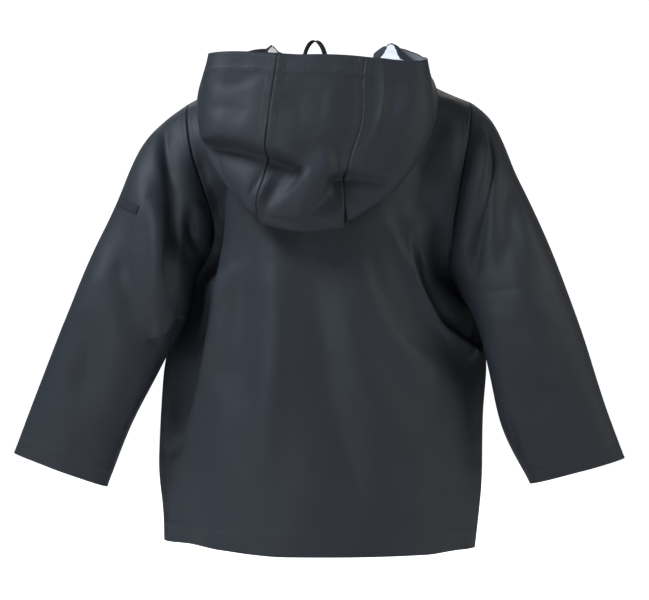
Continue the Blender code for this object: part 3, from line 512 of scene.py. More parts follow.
class Sheet:
    """A fine grid of cloth: its points in metres, its normals, and its ways to its borders."""

    def __init__(
        self, coarse: np.ndarray, closed: bool, spacing: float, outward: Vector, head: Vector, smooth: int
    ) -> None:
        """Makes the fine grid.

        Args:
            coarse: the solid's own points.
            closed: whether the rows are rings.
            spacing: about how far apart the fine points are, in millimetres.
            outward: the way that the sheet's furthest point faces.
            head: the way from the last row to the first.
            smooth: how often the facets are smoothed.
        """
        self.closed = closed
        if (coarse[0].mean(axis=0) - coarse[-1].mean(axis=0)) @ np.array(head) < 0:
            coarse = coarse[::-1]
        for axis in (0, 1):
            ring = closed and axis == 1
            lines = coarse if axis == 0 else coarse.transpose(1, 0, 2)
            span = (np.roll(lines, -1, axis=0) - lines) if ring else np.diff(lines, axis=0)
            mean = np.linalg.norm(span, axis=2).mean(axis=1)
            steps = [max(1, round(m / (spacing * MM))) for m in mean]
            lines = through(lines, steps, ring)
            coarse = lines if axis == 0 else lines.transpose(1, 0, 2)
        self.points = coarse
        for _ in range(smooth):
            self.relax()
        far = np.unravel_index(np.argmax(self.points @ np.array(outward)), self.points.shape[:2])
        if self.face()[far] @ np.array(outward) < 0:
            self.points = self.points[:, ::-1]
        self.normals = self.face()
        self.measure()

    def relax(self) -> None:
        """One pass of smoothing, with the borders kept."""
        p = self.points
        soft = p.copy()
        soft[1:-1] = p[1:-1] * 0.5 + (p[:-2] + p[2:]) * 0.25
        side = (np.roll(soft, 1, axis=1) + np.roll(soft, -1, axis=1)) * 0.25
        if self.closed:
            soft[1:-1] = (soft * 0.5 + side)[1:-1]
        else:
            soft[1:-1, 1:-1] = (soft * 0.5 + side)[1:-1, 1:-1]
        self.points = soft

    def face(self) -> np.ndarray:
        """Reads the way that the cloth faces.

        Returns:
            Unit normals, outwards where the columns run the right way.
        """
        along = [np.gradient(self.points, axis=0)]
        if self.closed:
            wide = np.concatenate([self.points[:, -1:], self.points, self.points[:, :1]], axis=1)
            along.append((wide[:, 2:] - wide[:, :-2]) / 2)
        else:
            along.append(np.gradient(self.points, axis=1))
        return unit(np.cross(along[1], along[0]))

    def measure(self) -> None:
        """Each point's way along the cloth to the four borders, in millimetres."""
        down = np.linalg.norm(np.diff(self.points, axis=0), axis=2).cumsum(axis=0)
        down = np.concatenate([np.zeros((1, down.shape[1])), down]) / MM
        across = np.linalg.norm(np.diff(self.points, axis=1), axis=2).cumsum(axis=1)
        across = np.concatenate([np.zeros((across.shape[0], 1)), across], axis=1) / MM
        self.away = {
            "top": down,
            "bottom": down[-1:] - down,
            "first": across,
            "last": across[:, -1:] - across,
        }

    def inset(self, name: str, distance: float) -> tuple[np.ndarray, np.ndarray]:
        """A line at one distance from a border, and its normals.

        Args:
            name: the border.
            distance: how far from it, in millimetres.

        Returns:
            The points of the line, and the way out at each.
        """
        away, points, normals = self.away[name], self.points, self.normals
        if name in ("top", "bottom"):
            away, points, normals = away.T, points.transpose(1, 0, 2), normals.transpose(1, 0, 2)
        made = []
        for reach, line, facing in zip(away, points, normals):
            if reach[0] > reach[-1]:
                reach, line, facing = reach[::-1], line[::-1], facing[::-1]
            if reach[-1] < distance:
                continue
            made.append(
                [[np.interp(distance, reach, data[:, k]) for k in range(3)] for data in (line, facing)]
            )
        both = np.array(made)
        return both[:, 0], unit(both[:, 1])


# ---------------------------------------------------------------- finishes


class Nodes:
    """Short hand for building a material's nodes."""

    def __init__(self, name: str) -> None:
        """Starts an empty material.

        Args:
            name: the material's name.
        """
        self.material = bpy.data.materials.new(name)
        self.material.use_nodes = True
        self.tree = self.material.node_tree
        self.tree.nodes.clear()

    def add(self, kind: str, inputs: dict | None = None, **settings) -> bpy.types.Node:
        """Adds a node, sets its options, and sets or links its inputs.

        Args:
            kind: the node's type.
            inputs: a value or another node's socket for each input, by its name or number.
            **settings: the node's options.

        Returns:
            The node.
        """
        node = self.tree.nodes.new(kind)
        for key, value in settings.items():
            setattr(node, key, value)
        for key, value in (inputs or {}).items():
            if isinstance(value, bpy.types.NodeSocket):
                self.tree.links.new(value, node.inputs[key])
            else:
                node.inputs[key].default_value = value
        return node

    def maths(self, operation: str, *values, clamp: bool = False) -> bpy.types.NodeSocket:
        """One step of arithmetic."""
        inputs = dict(enumerate(values))
        return self.add("ShaderNodeMath", inputs, operation=operation, use_clamp=clamp).outputs[0]

    def place(self) -> bpy.types.NodeSocket:
        """Where a point is on the piece, in metres."""
        return self.add("ShaderNodeTexCoord").outputs["Object"]

    def noise(
        self, vector: bpy.types.NodeSocket, scale: float, detail: float = 2.0, rough: float = 0.5
    ) -> bpy.types.NodeSocket:
        """A soft noise from 0 to 1."""
        inputs = {"Vector": vector, "Scale": scale, "Detail": detail, "Roughness": rough}
        return self.add("ShaderNodeTexNoise", inputs).outputs["Fac"]

    def mix(
        self, share: bpy.types.NodeSocket, one: tuple | bpy.types.NodeSocket, two: tuple
    ) -> bpy.types.NodeSocket:
        """A colour between two.

        Args:
            share: how much of the second there is.
            one: the first colour, or its socket.
            two: the second colour.

        Returns:
            The mixed colour.
        """
        first = one if isinstance(one, bpy.types.NodeSocket) else (*one, 1)
        colours = {"Factor": share, 6: first, 7: (*two, 1)}
        return self.add("ShaderNodeMix", colours, data_type="RGBA").outputs[2]

    def curve(
        self, value: bpy.types.NodeSocket, points: Sequence[tuple[float, float]], reach: float
    ) -> bpy.types.NodeSocket:
        """A height read off a line of points.

        Args:
            value: the distance to read it at.
            points: distances and heights.
            reach: the distance at which the line ends.

        Returns:
            The height.
        """
        share = self.maths("DIVIDE", value, reach, clamp=True)
        node = self.add("ShaderNodeValToRGB", {"Fac": share})
        ramp = node.color_ramp
        ramp.interpolation = "EASE"
        while len(ramp.elements) < len(points):
            ramp.elements.new(0.5)
        for element, (at, height) in zip(ramp.elements, points):
            element.position = at / reach
            element.color = (height, height, height, 1)
        return node.outputs["Color"]

    def bump(
        self,
        height: bpy.types.NodeSocket,
        after: bpy.types.NodeSocket | None = None,
        strength: float = 1.0,
    ) -> bpy.types.NodeSocket:
        """A bump of a height in millimetres.

        Args:
            height: the height.
            after: the bump that it lies on, if any.
            strength: the share of it that is seen.

        Returns:
            The normal.
        """
        inputs = {"Height": height, "Distance": MM, "Strength": strength}
        if after is not None:
            inputs["Normal"] = after
        return self.add("ShaderNodeBump", inputs).outputs[0]

    def finish(self, **inputs) -> bpy.types.Material:
        """Ends the material with its shader.

        Args:
            **inputs: the shader's inputs, in small letters with underscores.

        Returns:
            The material.
        """
        names = {k.replace("_", " ").title().replace("Ior", "IOR"): v for k, v in inputs.items()}
        shader = self.add("ShaderNodeBsdfPrincipled", names)
        self.add("ShaderNodeOutputMaterial", {"Surface": shader.outputs[0]})
        return self.material


@dataclass(frozen=True)
class CoatedCloth:
    """Polyurethane on a knit: a dark satin skin, with seam welts and hems read from the sheet."""

    name: str = "coated_cloth_outside"
    deep: tuple[float, float, float] = (0.0175, 0.0200, 0.0252)
    pale: tuple[float, float, float] = (0.0215, 0.0245, 0.0305)
    seam_shade: tuple[float, float, float] = (0.003, 0.003, 0.004)  # painted shade, down in a seam where its shadow falls
    roughness: float = 0.62
    specular: float = 0.27
    welt: tuple[tuple[float, float], ...] = (
        (0, 0.25), (0.6, 0.32), (1.6, 0.72), (5.6, 0.62), (6.3, 0.34), (7.0, 0.55), (9.0, 0.5),
    )  # fmt: skip
    fold: tuple[tuple[float, float], ...] = (
        (0, 0.25), (1.2, 0.62), (19.0, 0.62), (20.0, 0.36), (21.2, 0.6), (23.0, 0.42), (26.0, 0.4),
    )  # fmt: skip

    def build(self) -> bpy.types.Material:
        """Makes the material.

        Returns:
            The material.
        """
        n = Nodes(self.name)
        place = n.place()
        seam = n.add("ShaderNodeAttribute", attribute_name="seam").outputs["Fac"]
        hem = n.add("ShaderNodeAttribute", attribute_name="hem").outputs["Fac"]
        # painted shade: the colour darkens within about a millimetre of a seam, for the shadow down in it
        seam_shade = n.curve(seam, [(0, 0.88), (0.6, 0.72), (1.3, 0.0)], 10)
        colour = n.mix(seam_shade, n.mix(n.noise(place, 9.0, 3.0), self.deep, self.pale), self.seam_shade)
        rough = n.maths("MULTIPLY_ADD", n.noise(place, 34.0, 3.0), 0.12, self.roughness - 0.06)
        folded = n.maths("ADD", n.curve(seam, self.welt, 10), n.curve(hem, self.fold, 30))
        near = n.curve(seam, [(0, 1.0), (5, 0.7), (11, 0.0)], 12)
        near_hem = n.curve(hem, [(0, 0.0), (14, 0.1), (20, 0.8), (28, 0.0)], 30)
        pucker = n.maths("MULTIPLY", n.noise(place, 150.0, 2.0), n.maths("ADD", near, near_hem))
        relief = n.maths("ADD", n.maths("MULTIPLY", folded, 0.7), n.maths("MULTIPLY", pucker, 1.1))
        slack = n.maths("MULTIPLY", n.noise(place, 21.0, 2.0, 0.45), 3.4)
        grain = n.maths("MULTIPLY", n.noise(place, 1500.0, 2.0), 0.035)
        return n.finish(
            base_color=colour,
            roughness=rough,
            normal=n.bump(grain, n.bump(n.maths("ADD", relief, slack)), 0.6),
            specular_ior_level=self.specular,
        )


@dataclass(frozen=True)
class KnitBacking:
    """The coat's inside: the fine knit that the coating lies on."""

    name: str = "coated_cloth_inside"
    deep: tuple[float, float, float] = (0.030, 0.034, 0.042)
    pale: tuple[float, float, float] = (0.045, 0.051, 0.062)
    pitch: float = 0.9  # millimetres from rib to rib
    roughness: float = 0.92
    sheen: float = 0.25

    def build(self) -> bpy.types.Material:
        """Makes the material.

        Returns:
            The material.
        """
        n = Nodes(self.name)
        along = n.add("ShaderNodeUVMap", uv_map="cloth").outputs[0]
        both = []
        for direction, pitch, detail_scale in (("X", self.pitch, 3.0), ("Y", self.pitch * 1.4, 1.0)):
            inputs = {"Vector": along, "Scale": 1 / (pitch * MM) / 20, "Distortion": 1.2}
            inputs |= {"Detail": 1.0, "Detail Scale": detail_scale}
            wave = n.add("ShaderNodeTexWave", inputs, wave_type="BANDS", bands_direction=direction)
            both.append(wave.outputs["Fac"])
        knit = n.maths("ADD", n.maths("MULTIPLY", both[0], 0.6), n.maths("MULTIPLY", both[1], 0.4))
        soft = n.maths("MULTIPLY", n.noise(n.place(), 26.0), 1.6)
        return n.finish(
            base_color=n.mix(knit, self.deep, self.pale),
            roughness=self.roughness,
            normal=n.bump(n.maths("MULTIPLY", knit, 0.22), n.bump(soft), 0.7),
            sheen_weight=self.sheen,
            specular_ior_level=0.25,
        )


@dataclass(frozen=True)
class WhiteJersey(KnitBacking):
    """The hood's lining."""

    name: str = "lining_jersey_knit"
    deep: tuple[float, float, float] = (0.66, 0.65, 0.67)
    pale: tuple[float, float, float] = (0.84, 0.83, 0.85)
    pitch: float = 1.1
    sheen: float = 0.2


@dataclass(frozen=True)
class Band(KnitBacking):
    """Narrow woven band, for the loop and the sleeve's tag."""

    name: str = "woven_band"
    deep: tuple[float, float, float] = (0.007, 0.008, 0.010)
    pale: tuple[float, float, float] = (0.015, 0.017, 0.021)
    sheen: float = 0.05
    pitch: float = 0.7
    roughness: float = 0.8


@dataclass(frozen=True)
class Thread:
    """Sewing thread."""

    name: str = "thread"
    colour: tuple[float, float, float] = (0.020, 0.023, 0.030)

    def build(self) -> bpy.types.Material:
        """Makes the material.

        Returns:
            The material.
        """
        n = Nodes(self.name)
        twist = n.noise(n.place(), 2600.0, 1.0)
        dark = tuple(c * 0.7 for c in self.colour)
        return n.finish(base_color=n.mix(twist, dark, self.colour), roughness=0.62, sheen_weight=0.1)


@dataclass(frozen=True)
class SnapLacquer:
    """Dark lacquered metal."""

    name: str = "snap_lacquer"
    colour: tuple[float, float, float] = (0.055, 0.062, 0.078)

    def build(self) -> bpy.types.Material:
        """Makes the material.

        Returns:
            The material.
        """
        n = Nodes(self.name)
        place = n.place()
        wear = n.noise(place, 420.0, 3.0)
        rough = n.maths("MULTIPLY_ADD", wear, 0.14, 0.24)
        light = tuple(c * 1.35 for c in self.colour)
        fine = n.maths("MULTIPLY", n.noise(place, 1900.0), 0.03)
        return n.finish(
            base_color=n.mix(wear, self.colour, light),
            metallic=0.85,
            roughness=rough,
            normal=n.bump(fine, None, 0.5),
        )


# ---------------------------------------------------------------- pieces


def place_piece(
    name: str, points: np.ndarray, faces: list[tuple[int, ...]], finishes: list[bpy.types.Material]
) -> bpy.types.Object:
    """A new mesh object at the origin, smooth shaded.

    Args:
        name: its name.
        points: its points, in metres.
        faces: its faces, wound to point outwards.
        finishes: its materials.

    Returns:
        The object.
    """
    mesh = bpy.data.meshes.new(name)
    mesh.from_pydata(points.tolist(), [], faces)
    for finish in finishes:
        mesh.materials.append(finish)
    made = bpy.data.objects.new(name, mesh)
    bpy.context.scene.collection.objects.link(made)
    mesh.shade_smooth()
    return made


def edit_alone(piece: bpy.types.Object) -> None:
    """Opens one piece alone in edit mode, with all of it selected.

    Args:
        piece: the piece.
    """
    bpy.ops.object.select_all(action="DESELECT")
    piece.select_set(True)
    bpy.context.view_layer.objects.active = piece
    bpy.ops.object.mode_set(mode="EDIT")
    bpy.ops.mesh.select_all(action="SELECT")


def carried(piece: bpy.types.Object, slot: str, *nodes: str) -> bpy.types.Object:
    """Lets a piece ride on the coat.

    Args:
        piece: the piece.
        slot: not used.
        *nodes: the solids that it stands for.

    Returns:
        The piece.
    """
    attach(piece, "root")
    if nodes:
        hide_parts(*nodes)
    LOG.info("%s: %d faces", piece.name, len(piece.data.polygons))
    return piece


@dataclass
class Panel:
    """A sewn panel of the coat.

    Attributes:
        node: its solid.
        rows: of the solid's points.
        columns: of the solid's points.
        outward: the way its furthest point faces.
        head: the way from its last row to its first.
        closed: whether it is a tube.
        edges: how each border is finished.
        creases: its folds, by side.
        spacing: between its fine points.
        wall: its thickness.
        rim: the longest edge across the solid's rim.
        slack: how far its looser stretches stand out or in.
        raised: how far it is moved out from its solid.
        pulls: soft pushes of it.
        smooth: how often the solid's facets are smoothed away.
        held: how far from each seam its folds are held flat, in millimetres.
        loose_at: the share of a fold that is left at such a seam.
        sheet: its fine sheet.
        way: the way out along which each point moves.
        height: how far each point stands out of the plain sheet, in millimetres.
        slide: how far each point is drawn sideways, in millimetres.
        shared: the way out that each sewn border point shares with its neighbours.
        partners: the panels and points that each sewn border point meets.
    """

    node: str
    rows: int
    columns: int
    outward: tuple[float, float, float]
    head: tuple[float, float, float]
    closed: bool = False
    edges: dict[str, Edge] = field(default_factory=dict)
    creases: dict[Side, tuple[Crease | Tuck, ...]] = field(default_factory=dict)
    spacing: float = 2.6
    wall: float = CLOTH_WALL
    rim: float = 1.9
    slack: float = 0.5
    raised: float = 0.0
    pulls: tuple[Pull, ...] = ()
    smooth: int = 12
    held: dict[str, float] = field(default_factory=dict)
    loose_at: float = 0.25
    sheet: Sheet = field(init=False)
    way: np.ndarray = field(init=False)
    height: np.ndarray = field(init=False)
    slide: np.ndarray = field(init=False)
    shared: dict[tuple[int, int], np.ndarray] = field(default_factory=dict)
    partners: dict[tuple[int, int], list[tuple[Panel, tuple[int, int]]]] = field(default_factory=dict)

    def read(self) -> None:
        """Reads the solid and makes the fine sheet."""
        bm = merged_copy(self.node)
        weave = Weave(outer_triangles(bm, self.rim * MM, Vector(self.outward)))
        cut = weave.tube if self.closed else weave.grid
        coarse = cut(self.rows, self.columns)
        bm.free()
        outward, head = Vector(self.outward), Vector(self.head)
        self.sheet = Sheet(coarse, self.closed, self.spacing, outward, head, self.smooth)
        self.way = self.sheet.normals.copy()

    def borders(self) -> list[str]:
        """The names of its borders."""
        return ["top", "bottom"] if self.closed else ["top", "bottom", "first", "last"]

    def find_seams(self) -> None:
        """Makes a side border a seam where most of it meets another panel, and else a free one."""
        rows, columns = self.sheet.points.shape[:2]
        for name, column in (("first", 0), ("last", columns - 1)):
            sewn = sum((row, column) in self.partners for row in range(rows))
            self.edges[name] = Edge.SEAM if sewn > rows * 0.5 else Edge.FREE

    def read_folds(self) -> None:
        """Adds up how far each point stands out of the plain sheet."""
        sheet = self.sheet
        flat = sheet.points.reshape(-1, 3)
        way = self.way.reshape(-1, 3)
        height = np.zeros(len(flat))
        slide = np.zeros((len(flat), 3))
        for side, creases in self.creases.items():
            seen = ease((way[:, 1] * side.value - 0.02) / 0.4)  # less where the cloth turns away
            chosen = np.flatnonzero(seen > 0)
            for crease in creases:
                up, across = crease.lift(flat[chosen][:, [0, 2]] / MM, side)
                height[chosen] += up * seen[chosen]
                slide[chosen, 0] += across[:, 0] * seen[chosen]
                slide[chosen, 2] += across[:, 1] * seen[chosen]
        for name, reach in self.held.items():
            hold = self.loose_at + (1 - self.loose_at) * ease(sheet.away[name].ravel() / reach)
            height *= hold
            slide *= hold[:, None]
        for pull in self.pulls:
            slide += pull.move(flat / MM)
        x, y, z = (flat / MM).T
        broad = np.sin(x / 23 + z / 61 + 1.3) * np.sin(z / 37 - y / 29)
        narrow = np.sin(x / 11 - y / 13 + z / 47)
        height += (broad + 0.6 * narrow) * self.slack
        if self.raised < 0:  # a lining hangs clear of the cloth, but for its borders
            edge = np.min([sheet.away[name] for name in self.borders()], axis=0).ravel()
            height = np.minimum(height, height * 0.5) - 0.45 + self.raised * ease(edge / LINING_BORDER)
        else:
            height += self.raised
        self.height = height.reshape(sheet.points.shape[:2])
        self.slide = slide.reshape(sheet.points.shape)

    def fold(self) -> None:
        """Moves the cloth into its folds, along the ways shared with its neighbours."""
        self.sheet.points = self.sheet.points + (self.way * self.height[..., None] + self.slide) * MM

    def lay_on(
        self, under: Panel, seen: tuple[float, float], size: tuple[float, float], slope: float
    ) -> None:
        """Lays a small band on another panel's folded cloth, walking over it from the band's inner end.

        Args:
            under: the panel that it is sewn on.
            seen: x and z of the middle of its inner end, on the back's side, in millimetres.
            size: its length and height, in millimetres.
            slope: how it is turned, as seen from the back.
        """
        points = under.sheet.points
        rows, columns = points.shape[:2]
        index = np.arange(rows * columns).reshape(rows, columns)
        wide = np.concatenate([index, index[:, :1]], axis=1)
        quads = np.stack([wide[:-1, :-1], wide[1:, :-1], wide[1:, 1:], wide[:-1, 1:]], axis=-1)
        cloth = BVHTree.FromPolygons(points.reshape(-1, 3).tolist(), quads.reshape(-1, 4).tolist())
        start = cloth.ray_cast(Vector((seen[0] * MM, 1.0, seen[1] * MM)), Vector((0, -1, 0)))

        def walk(at: Vector, out: Vector, way: Vector, length: float) -> tuple[Vector, Vector, Vector]:
            """Goes a length over the cloth.

            Args:
                at: where it starts, on the cloth.
                out: the way out there.
                way: the way to go.
                length: how far, in millimetres.

            Returns:
                The place, the way out and the way on at its end.
            """
            steps = max(1, round(abs(length) / 0.7))
            for _ in range(steps):
                way = (way - out * way.dot(out)).normalized()
                spot, facing, _, _ = cloth.find_nearest(at + way * length / steps * MM)
                at, out = spot, (out * 2 + (facing if facing.dot(out) > 0 else -facing)).normalized()
            return at, out, way

        out = start[1] if start[1].y > 0 else -start[1]
        across, rise = math.cos(slope), math.sin(slope)
        first = Vector((across, -(across * out.x + rise * out.z) / out.y, rise))
        grid = np.zeros((self.rows, self.columns, 3))
        for r, t in enumerate(np.linspace(size[1] / 2, -size[1] / 2, self.rows)):
            at, up, _ = walk(start[0], out, out.cross(first), t)
            way = first
            for c in range(self.columns):
                grid[r, self.columns - 1 - c] = at + up * (self.wall + 0.25) * MM
                at, up, way = walk(at, up, way, size[0] / (self.columns - 1))
        self.sheet = Sheet(grid, False, FAR, Vector(self.outward), Vector(self.head), 2)

    def thick(self, facing: np.ndarray) -> tuple[np.ndarray, list[tuple[int, ...]]]:
        """Makes the sheet a closed thin body, with rolled borders.

        Args:
            facing: the way out at each point.

        Returns:
            The points and the faces.
        """
        outer = self.sheet.points
        inner = outer - facing * self.wall * MM
        points = [outer.reshape(-1, 3), inner.reshape(-1, 3)]
        size = len(points[0])
        index = np.arange(size).reshape(outer.shape[:2])
        wide = np.concatenate([index, index[:, :1]], axis=1) if self.closed else index
        quads = np.stack([wide[:-1, :-1], wide[:-1, 1:], wide[1:, 1:], wide[1:, :-1]], axis=-1)
        quads = quads.reshape(-1, 4)
        faces = [tuple(q) for q in quads] + [tuple(q + size) for q in quads[:, ::-1]]
        if self.closed:
            loops = [(wide[0], 1), (wide[-1], -1)]
        else:
            ring = np.concatenate([index[0, :-1], index[:-1, -1], index[-1, :0:-1], index[:0:-1, 0]])
            loops = [(np.append(ring, ring[:1]), 1)]
        beside = np.concatenate([outer[1:2], outer[1:-1], outer[-2:-1]])
        if not self.closed:
            beside = np.concatenate([beside[:, 1:2], beside[:, 1:-1], beside[:, -2:-1]], axis=1)
        out = unit((outer - beside).reshape(-1, 3))
        flat = (outer + inner).reshape(-1, 3) / 2
        count = 2 * size
        for loop, turn in loops:
            own = loop[:-1]
            points.append(flat[own] + out[own] * BORDER_ROLL * MM)
            for k in range(len(own)):
                a, b = int(loop[k]), int(loop[k + 1])
                m, n = count + k, count + (k + 1) % len(own)
                for quad in ((a, m, n, b), (m, a + size, b + size, n)):
                    faces.append(quad if turn > 0 else quad[::-1])
            count += len(own)
        return np.concatenate(points), faces

    def second(self, faces: list[tuple[int, ...]]) -> np.ndarray:
        """Which faces have the second finish: the inside, or the binding of a lining.

        Args:
            faces: all the faces.

        Returns:
            1 for each such face, and 0 for the others.
        """
        sheet = self.sheet
        columns = sheet.points.shape[1]
        size = sheet.points[..., 0].size
        if self.raised < 0:  # the brim's binding is of the coat's own cloth, and ends at the two front tips
            brim = sheet.points[0, :, 2] / MM
            half = columns // 2
            tips = np.repeat([brim[:half].max(), brim[half:].max()], [half, columns - half])
            bound = (sheet.away["top"] < BINDING * ease((tips - brim) / BINDING_END)).ravel()
            chosen = [min(face) < 2 * size and bound[min(face) % size] for face in faces]
        else:
            chosen = [min(face) >= size and max(face) < 2 * size for face in faces]
        return np.array(chosen, np.int32)

    def build(self, finishes: list[bpy.types.Material], slot: str) -> bpy.types.Object:
        """Makes the piece from the folded sheet.

        Args:
            finishes: the outside's and the inside's.
            slot: the record's material.

        Returns:
            The piece.
        """
        sheet = self.sheet
        sheet.normals = sheet.face()
        for key, way in self.shared.items():
            sheet.normals[key] = way
        points, faces = self.thick(sheet.normals)
        piece = place_piece(f"{self.node}_cloth", points, faces, finishes)
        mesh = piece.data
        mesh.polygons.foreach_set("material_index", self.second(faces))
        size = sheet.points[..., 0].size
        for name, kind in (("seam", Edge.SEAM), ("hem", Edge.HEM)):
            ways = [sheet.away[border] for border in self.borders() if self.edges.get(border) == kind]
            values = np.full(len(points), 0.0 if ways else FAR, np.float32)
            if ways:
                values[: 2 * size] = np.tile(np.min(ways, axis=0).ravel(), 2)
            mesh.attributes.new(name, "FLOAT", "POINT").data.foreach_set("value", values)
        across = sheet.away["first"] - sheet.away["first"].mean(axis=1, keepdims=True)
        cloth = np.stack([across, sheet.away["top"]], axis=-1).reshape(-1, 2) * MM
        cloth = np.concatenate([cloth, cloth, np.zeros((len(points) - 2 * size, 2))])
        corners = np.zeros(len(mesh.loops), np.int32)
        mesh.loops.foreach_get("vertex_index", corners)
        layer = mesh.uv_layers.new(name="cloth")
        layer.data.foreach_set("uv", cloth[corners].astype(np.float32).ravel())
        mesh.update()
        return carried(piece, slot, self.node)


def border_keys(panel: Panel) -> list[tuple[int, int]]:
    """Lists the border points of a panel.

    Args:
        panel: the panel, which has its sheet.

    Returns:
        Their rows and columns, in order.
    """
    rows, columns = panel.sheet.points.shape[:2]
    keys = {(i, j) for i in (0, rows - 1) for j in range(columns)}
    if not panel.closed:
        keys |= {(i, j) for i in range(rows) for j in (0, columns - 1)}
    return sorted(keys)


def share_ways(panels: list[Panel], after: bool = False) -> None:
    """Gives the points where panels meet one way out, so that they move and end together.

    Args:
        panels: the sewn panels.
        after: whether the sheets are folded already, so only their ends are shared.
    """
    spots = []
    for panel in panels:
        normals = panel.sheet.face()
        spots += [(panel, key, panel.sheet.points[key], normals[key]) for key in border_keys(panel)]
        panel.shared, panel.partners = {}, {}
    tree = KDTree(len(spots))
    for k, spot in enumerate(spots):
        tree.insert(spot[2], k)
    tree.balance()
    for panel, key, point, normal in spots:
        near: dict[str, tuple] = {}
        for _, k, distance in tree.find_range(Vector(point), (SEAM_REACH + panel.spacing * 0.7) * MM):
            other = spots[k]
            if other[0] is not panel and (other[0].node not in near or distance < near[other[0].node][0]):
                near[other[0].node] = (distance, other)
        if near:
            panel.shared[key] = unit(normal + sum(other[3] for _, other in near.values()))
            panel.partners[key] = [(other[0], other[1]) for _, other in near.values()]
    if after:
        return
    for panel in panels:
        way = panel.sheet.face()
        held = np.zeros(way.shape[:2], bool)
        for key, shared in panel.shared.items():
            way[key] = shared
            held[key] = True
        for _ in range(6):
            pad = np.pad(way, ((1, 1), (1, 1), (0, 0)), mode="edge")
            if panel.closed:
                pad[:, 0], pad[:, -1] = pad[:, -2], pad[:, 1]
            soft = unit((pad[:-2, 1:-1] + pad[2:, 1:-1] + pad[1:-1, :-2] + pad[1:-1, 2:]) / 4 + way)
            way = np.where(held[..., None], way, soft)
        panel.way = way


def join_ends(panels: list[Panel]) -> None:
    """Brings the borders of sewn panels together.

    Args:
        panels: the sewn panels, folded and with their partners found.
    """
    moved = []
    for panel in panels:
        for key, partners in panel.partners.items():
            others = [p.sheet.points[k] for p, k in partners]
            middle = (panel.sheet.points[key] + sum(others)) / (1 + len(others))
            moved.append((panel, key, middle))
    for panel, key, place in moved:
        panel.sheet.points[key] = place


# ---------------------------------------------------------------- folds
#
# A crease gives its name, its line, its height, how soft it is to its left and right, and the share of
# its height at its start and end. A pull gives its name, its middle, its reach and its shift.

# fmt: off
HOOD_CREASES = (
    Crease("soft upper left", ((121, -22), (99, -29), (77, -24), (66, -16)), -1.4, 8, 6),
    Crease("soft left", ((128, -60), (110, -55), (90, -62), (75, -69)), -1.3, 7, 7),
    Crease(
        "streak on the right",
        ((-63, -2), (-65, -44), (-57, -66), (-44, -91)),
        3.2, 13, 6, 0.5, 0.2, crisp=True,
    ),
    Crease("beside the streak", ((-77, -13), (-75, -46), (-64, -77)), -2.2, 8, 9, 0.3, 0.2),
    Crease("right panel ridge", ((-99, -18), (-97, -51), (-86, -84), (-73, -108)), 1.8, 9, 9),
    Crease("middle soft", ((-9, -29), (-5, -51), (0, -75)), 1.2, 7, 5),
    Crease("middle soft dark", ((31, -33), (24, -55), (20, -80)), -1.0, 8, 8),
    Crease("seam stripe", ((59, -119), (67, -141), (76, -164)), -2.6, 3.5, 4.5, 0.3, 0.3, crisp=True),
    Crease("second stripe", ((41, -128), (47, -148), (55, -173)), -2.6, 3.5, 6, 0.3, 0.2, crisp=True),
    Crease("lower rim", ((70, -163), (51, -176), (24, -182), (-24, -183)), -2.2, 4, 5, 0.3, 0.2),
    Crease("stripe ridge", ((51, -126), (57, -146), (65, -168)), 1.6, 4, 4, 0.3, 0.2),
    Tuck(
        "big fold",
        ((141, -102), (123, -101), (106, -102), (86, -106), (62, -113), (42, -120), (19, -134)),
        lip=8.5, deep=14.0, width=18, behind=30, before=34, start=18, end=12, over=1.8,
    ),
    Tuck(
        "loop",
        ((24, -183), (11, -172), (0, -160), (-10, -146), (-14, -130), (-14, -113), (-9, -97), (2, -84)),
        lip=5.5, deep=5.5, width=14, behind=24, before=26, start=34, end=40, over=1.2,
    ),
    Tuck(
        "right fold",
        ((0, -142), (-11, -137), (-25, -133), (-44, -135), (-65, -138), (-82, -132)),
        lip=5.0, deep=8.0, width=12, behind=20, before=22, start=12, end=28, over=2.0,
    ),
)

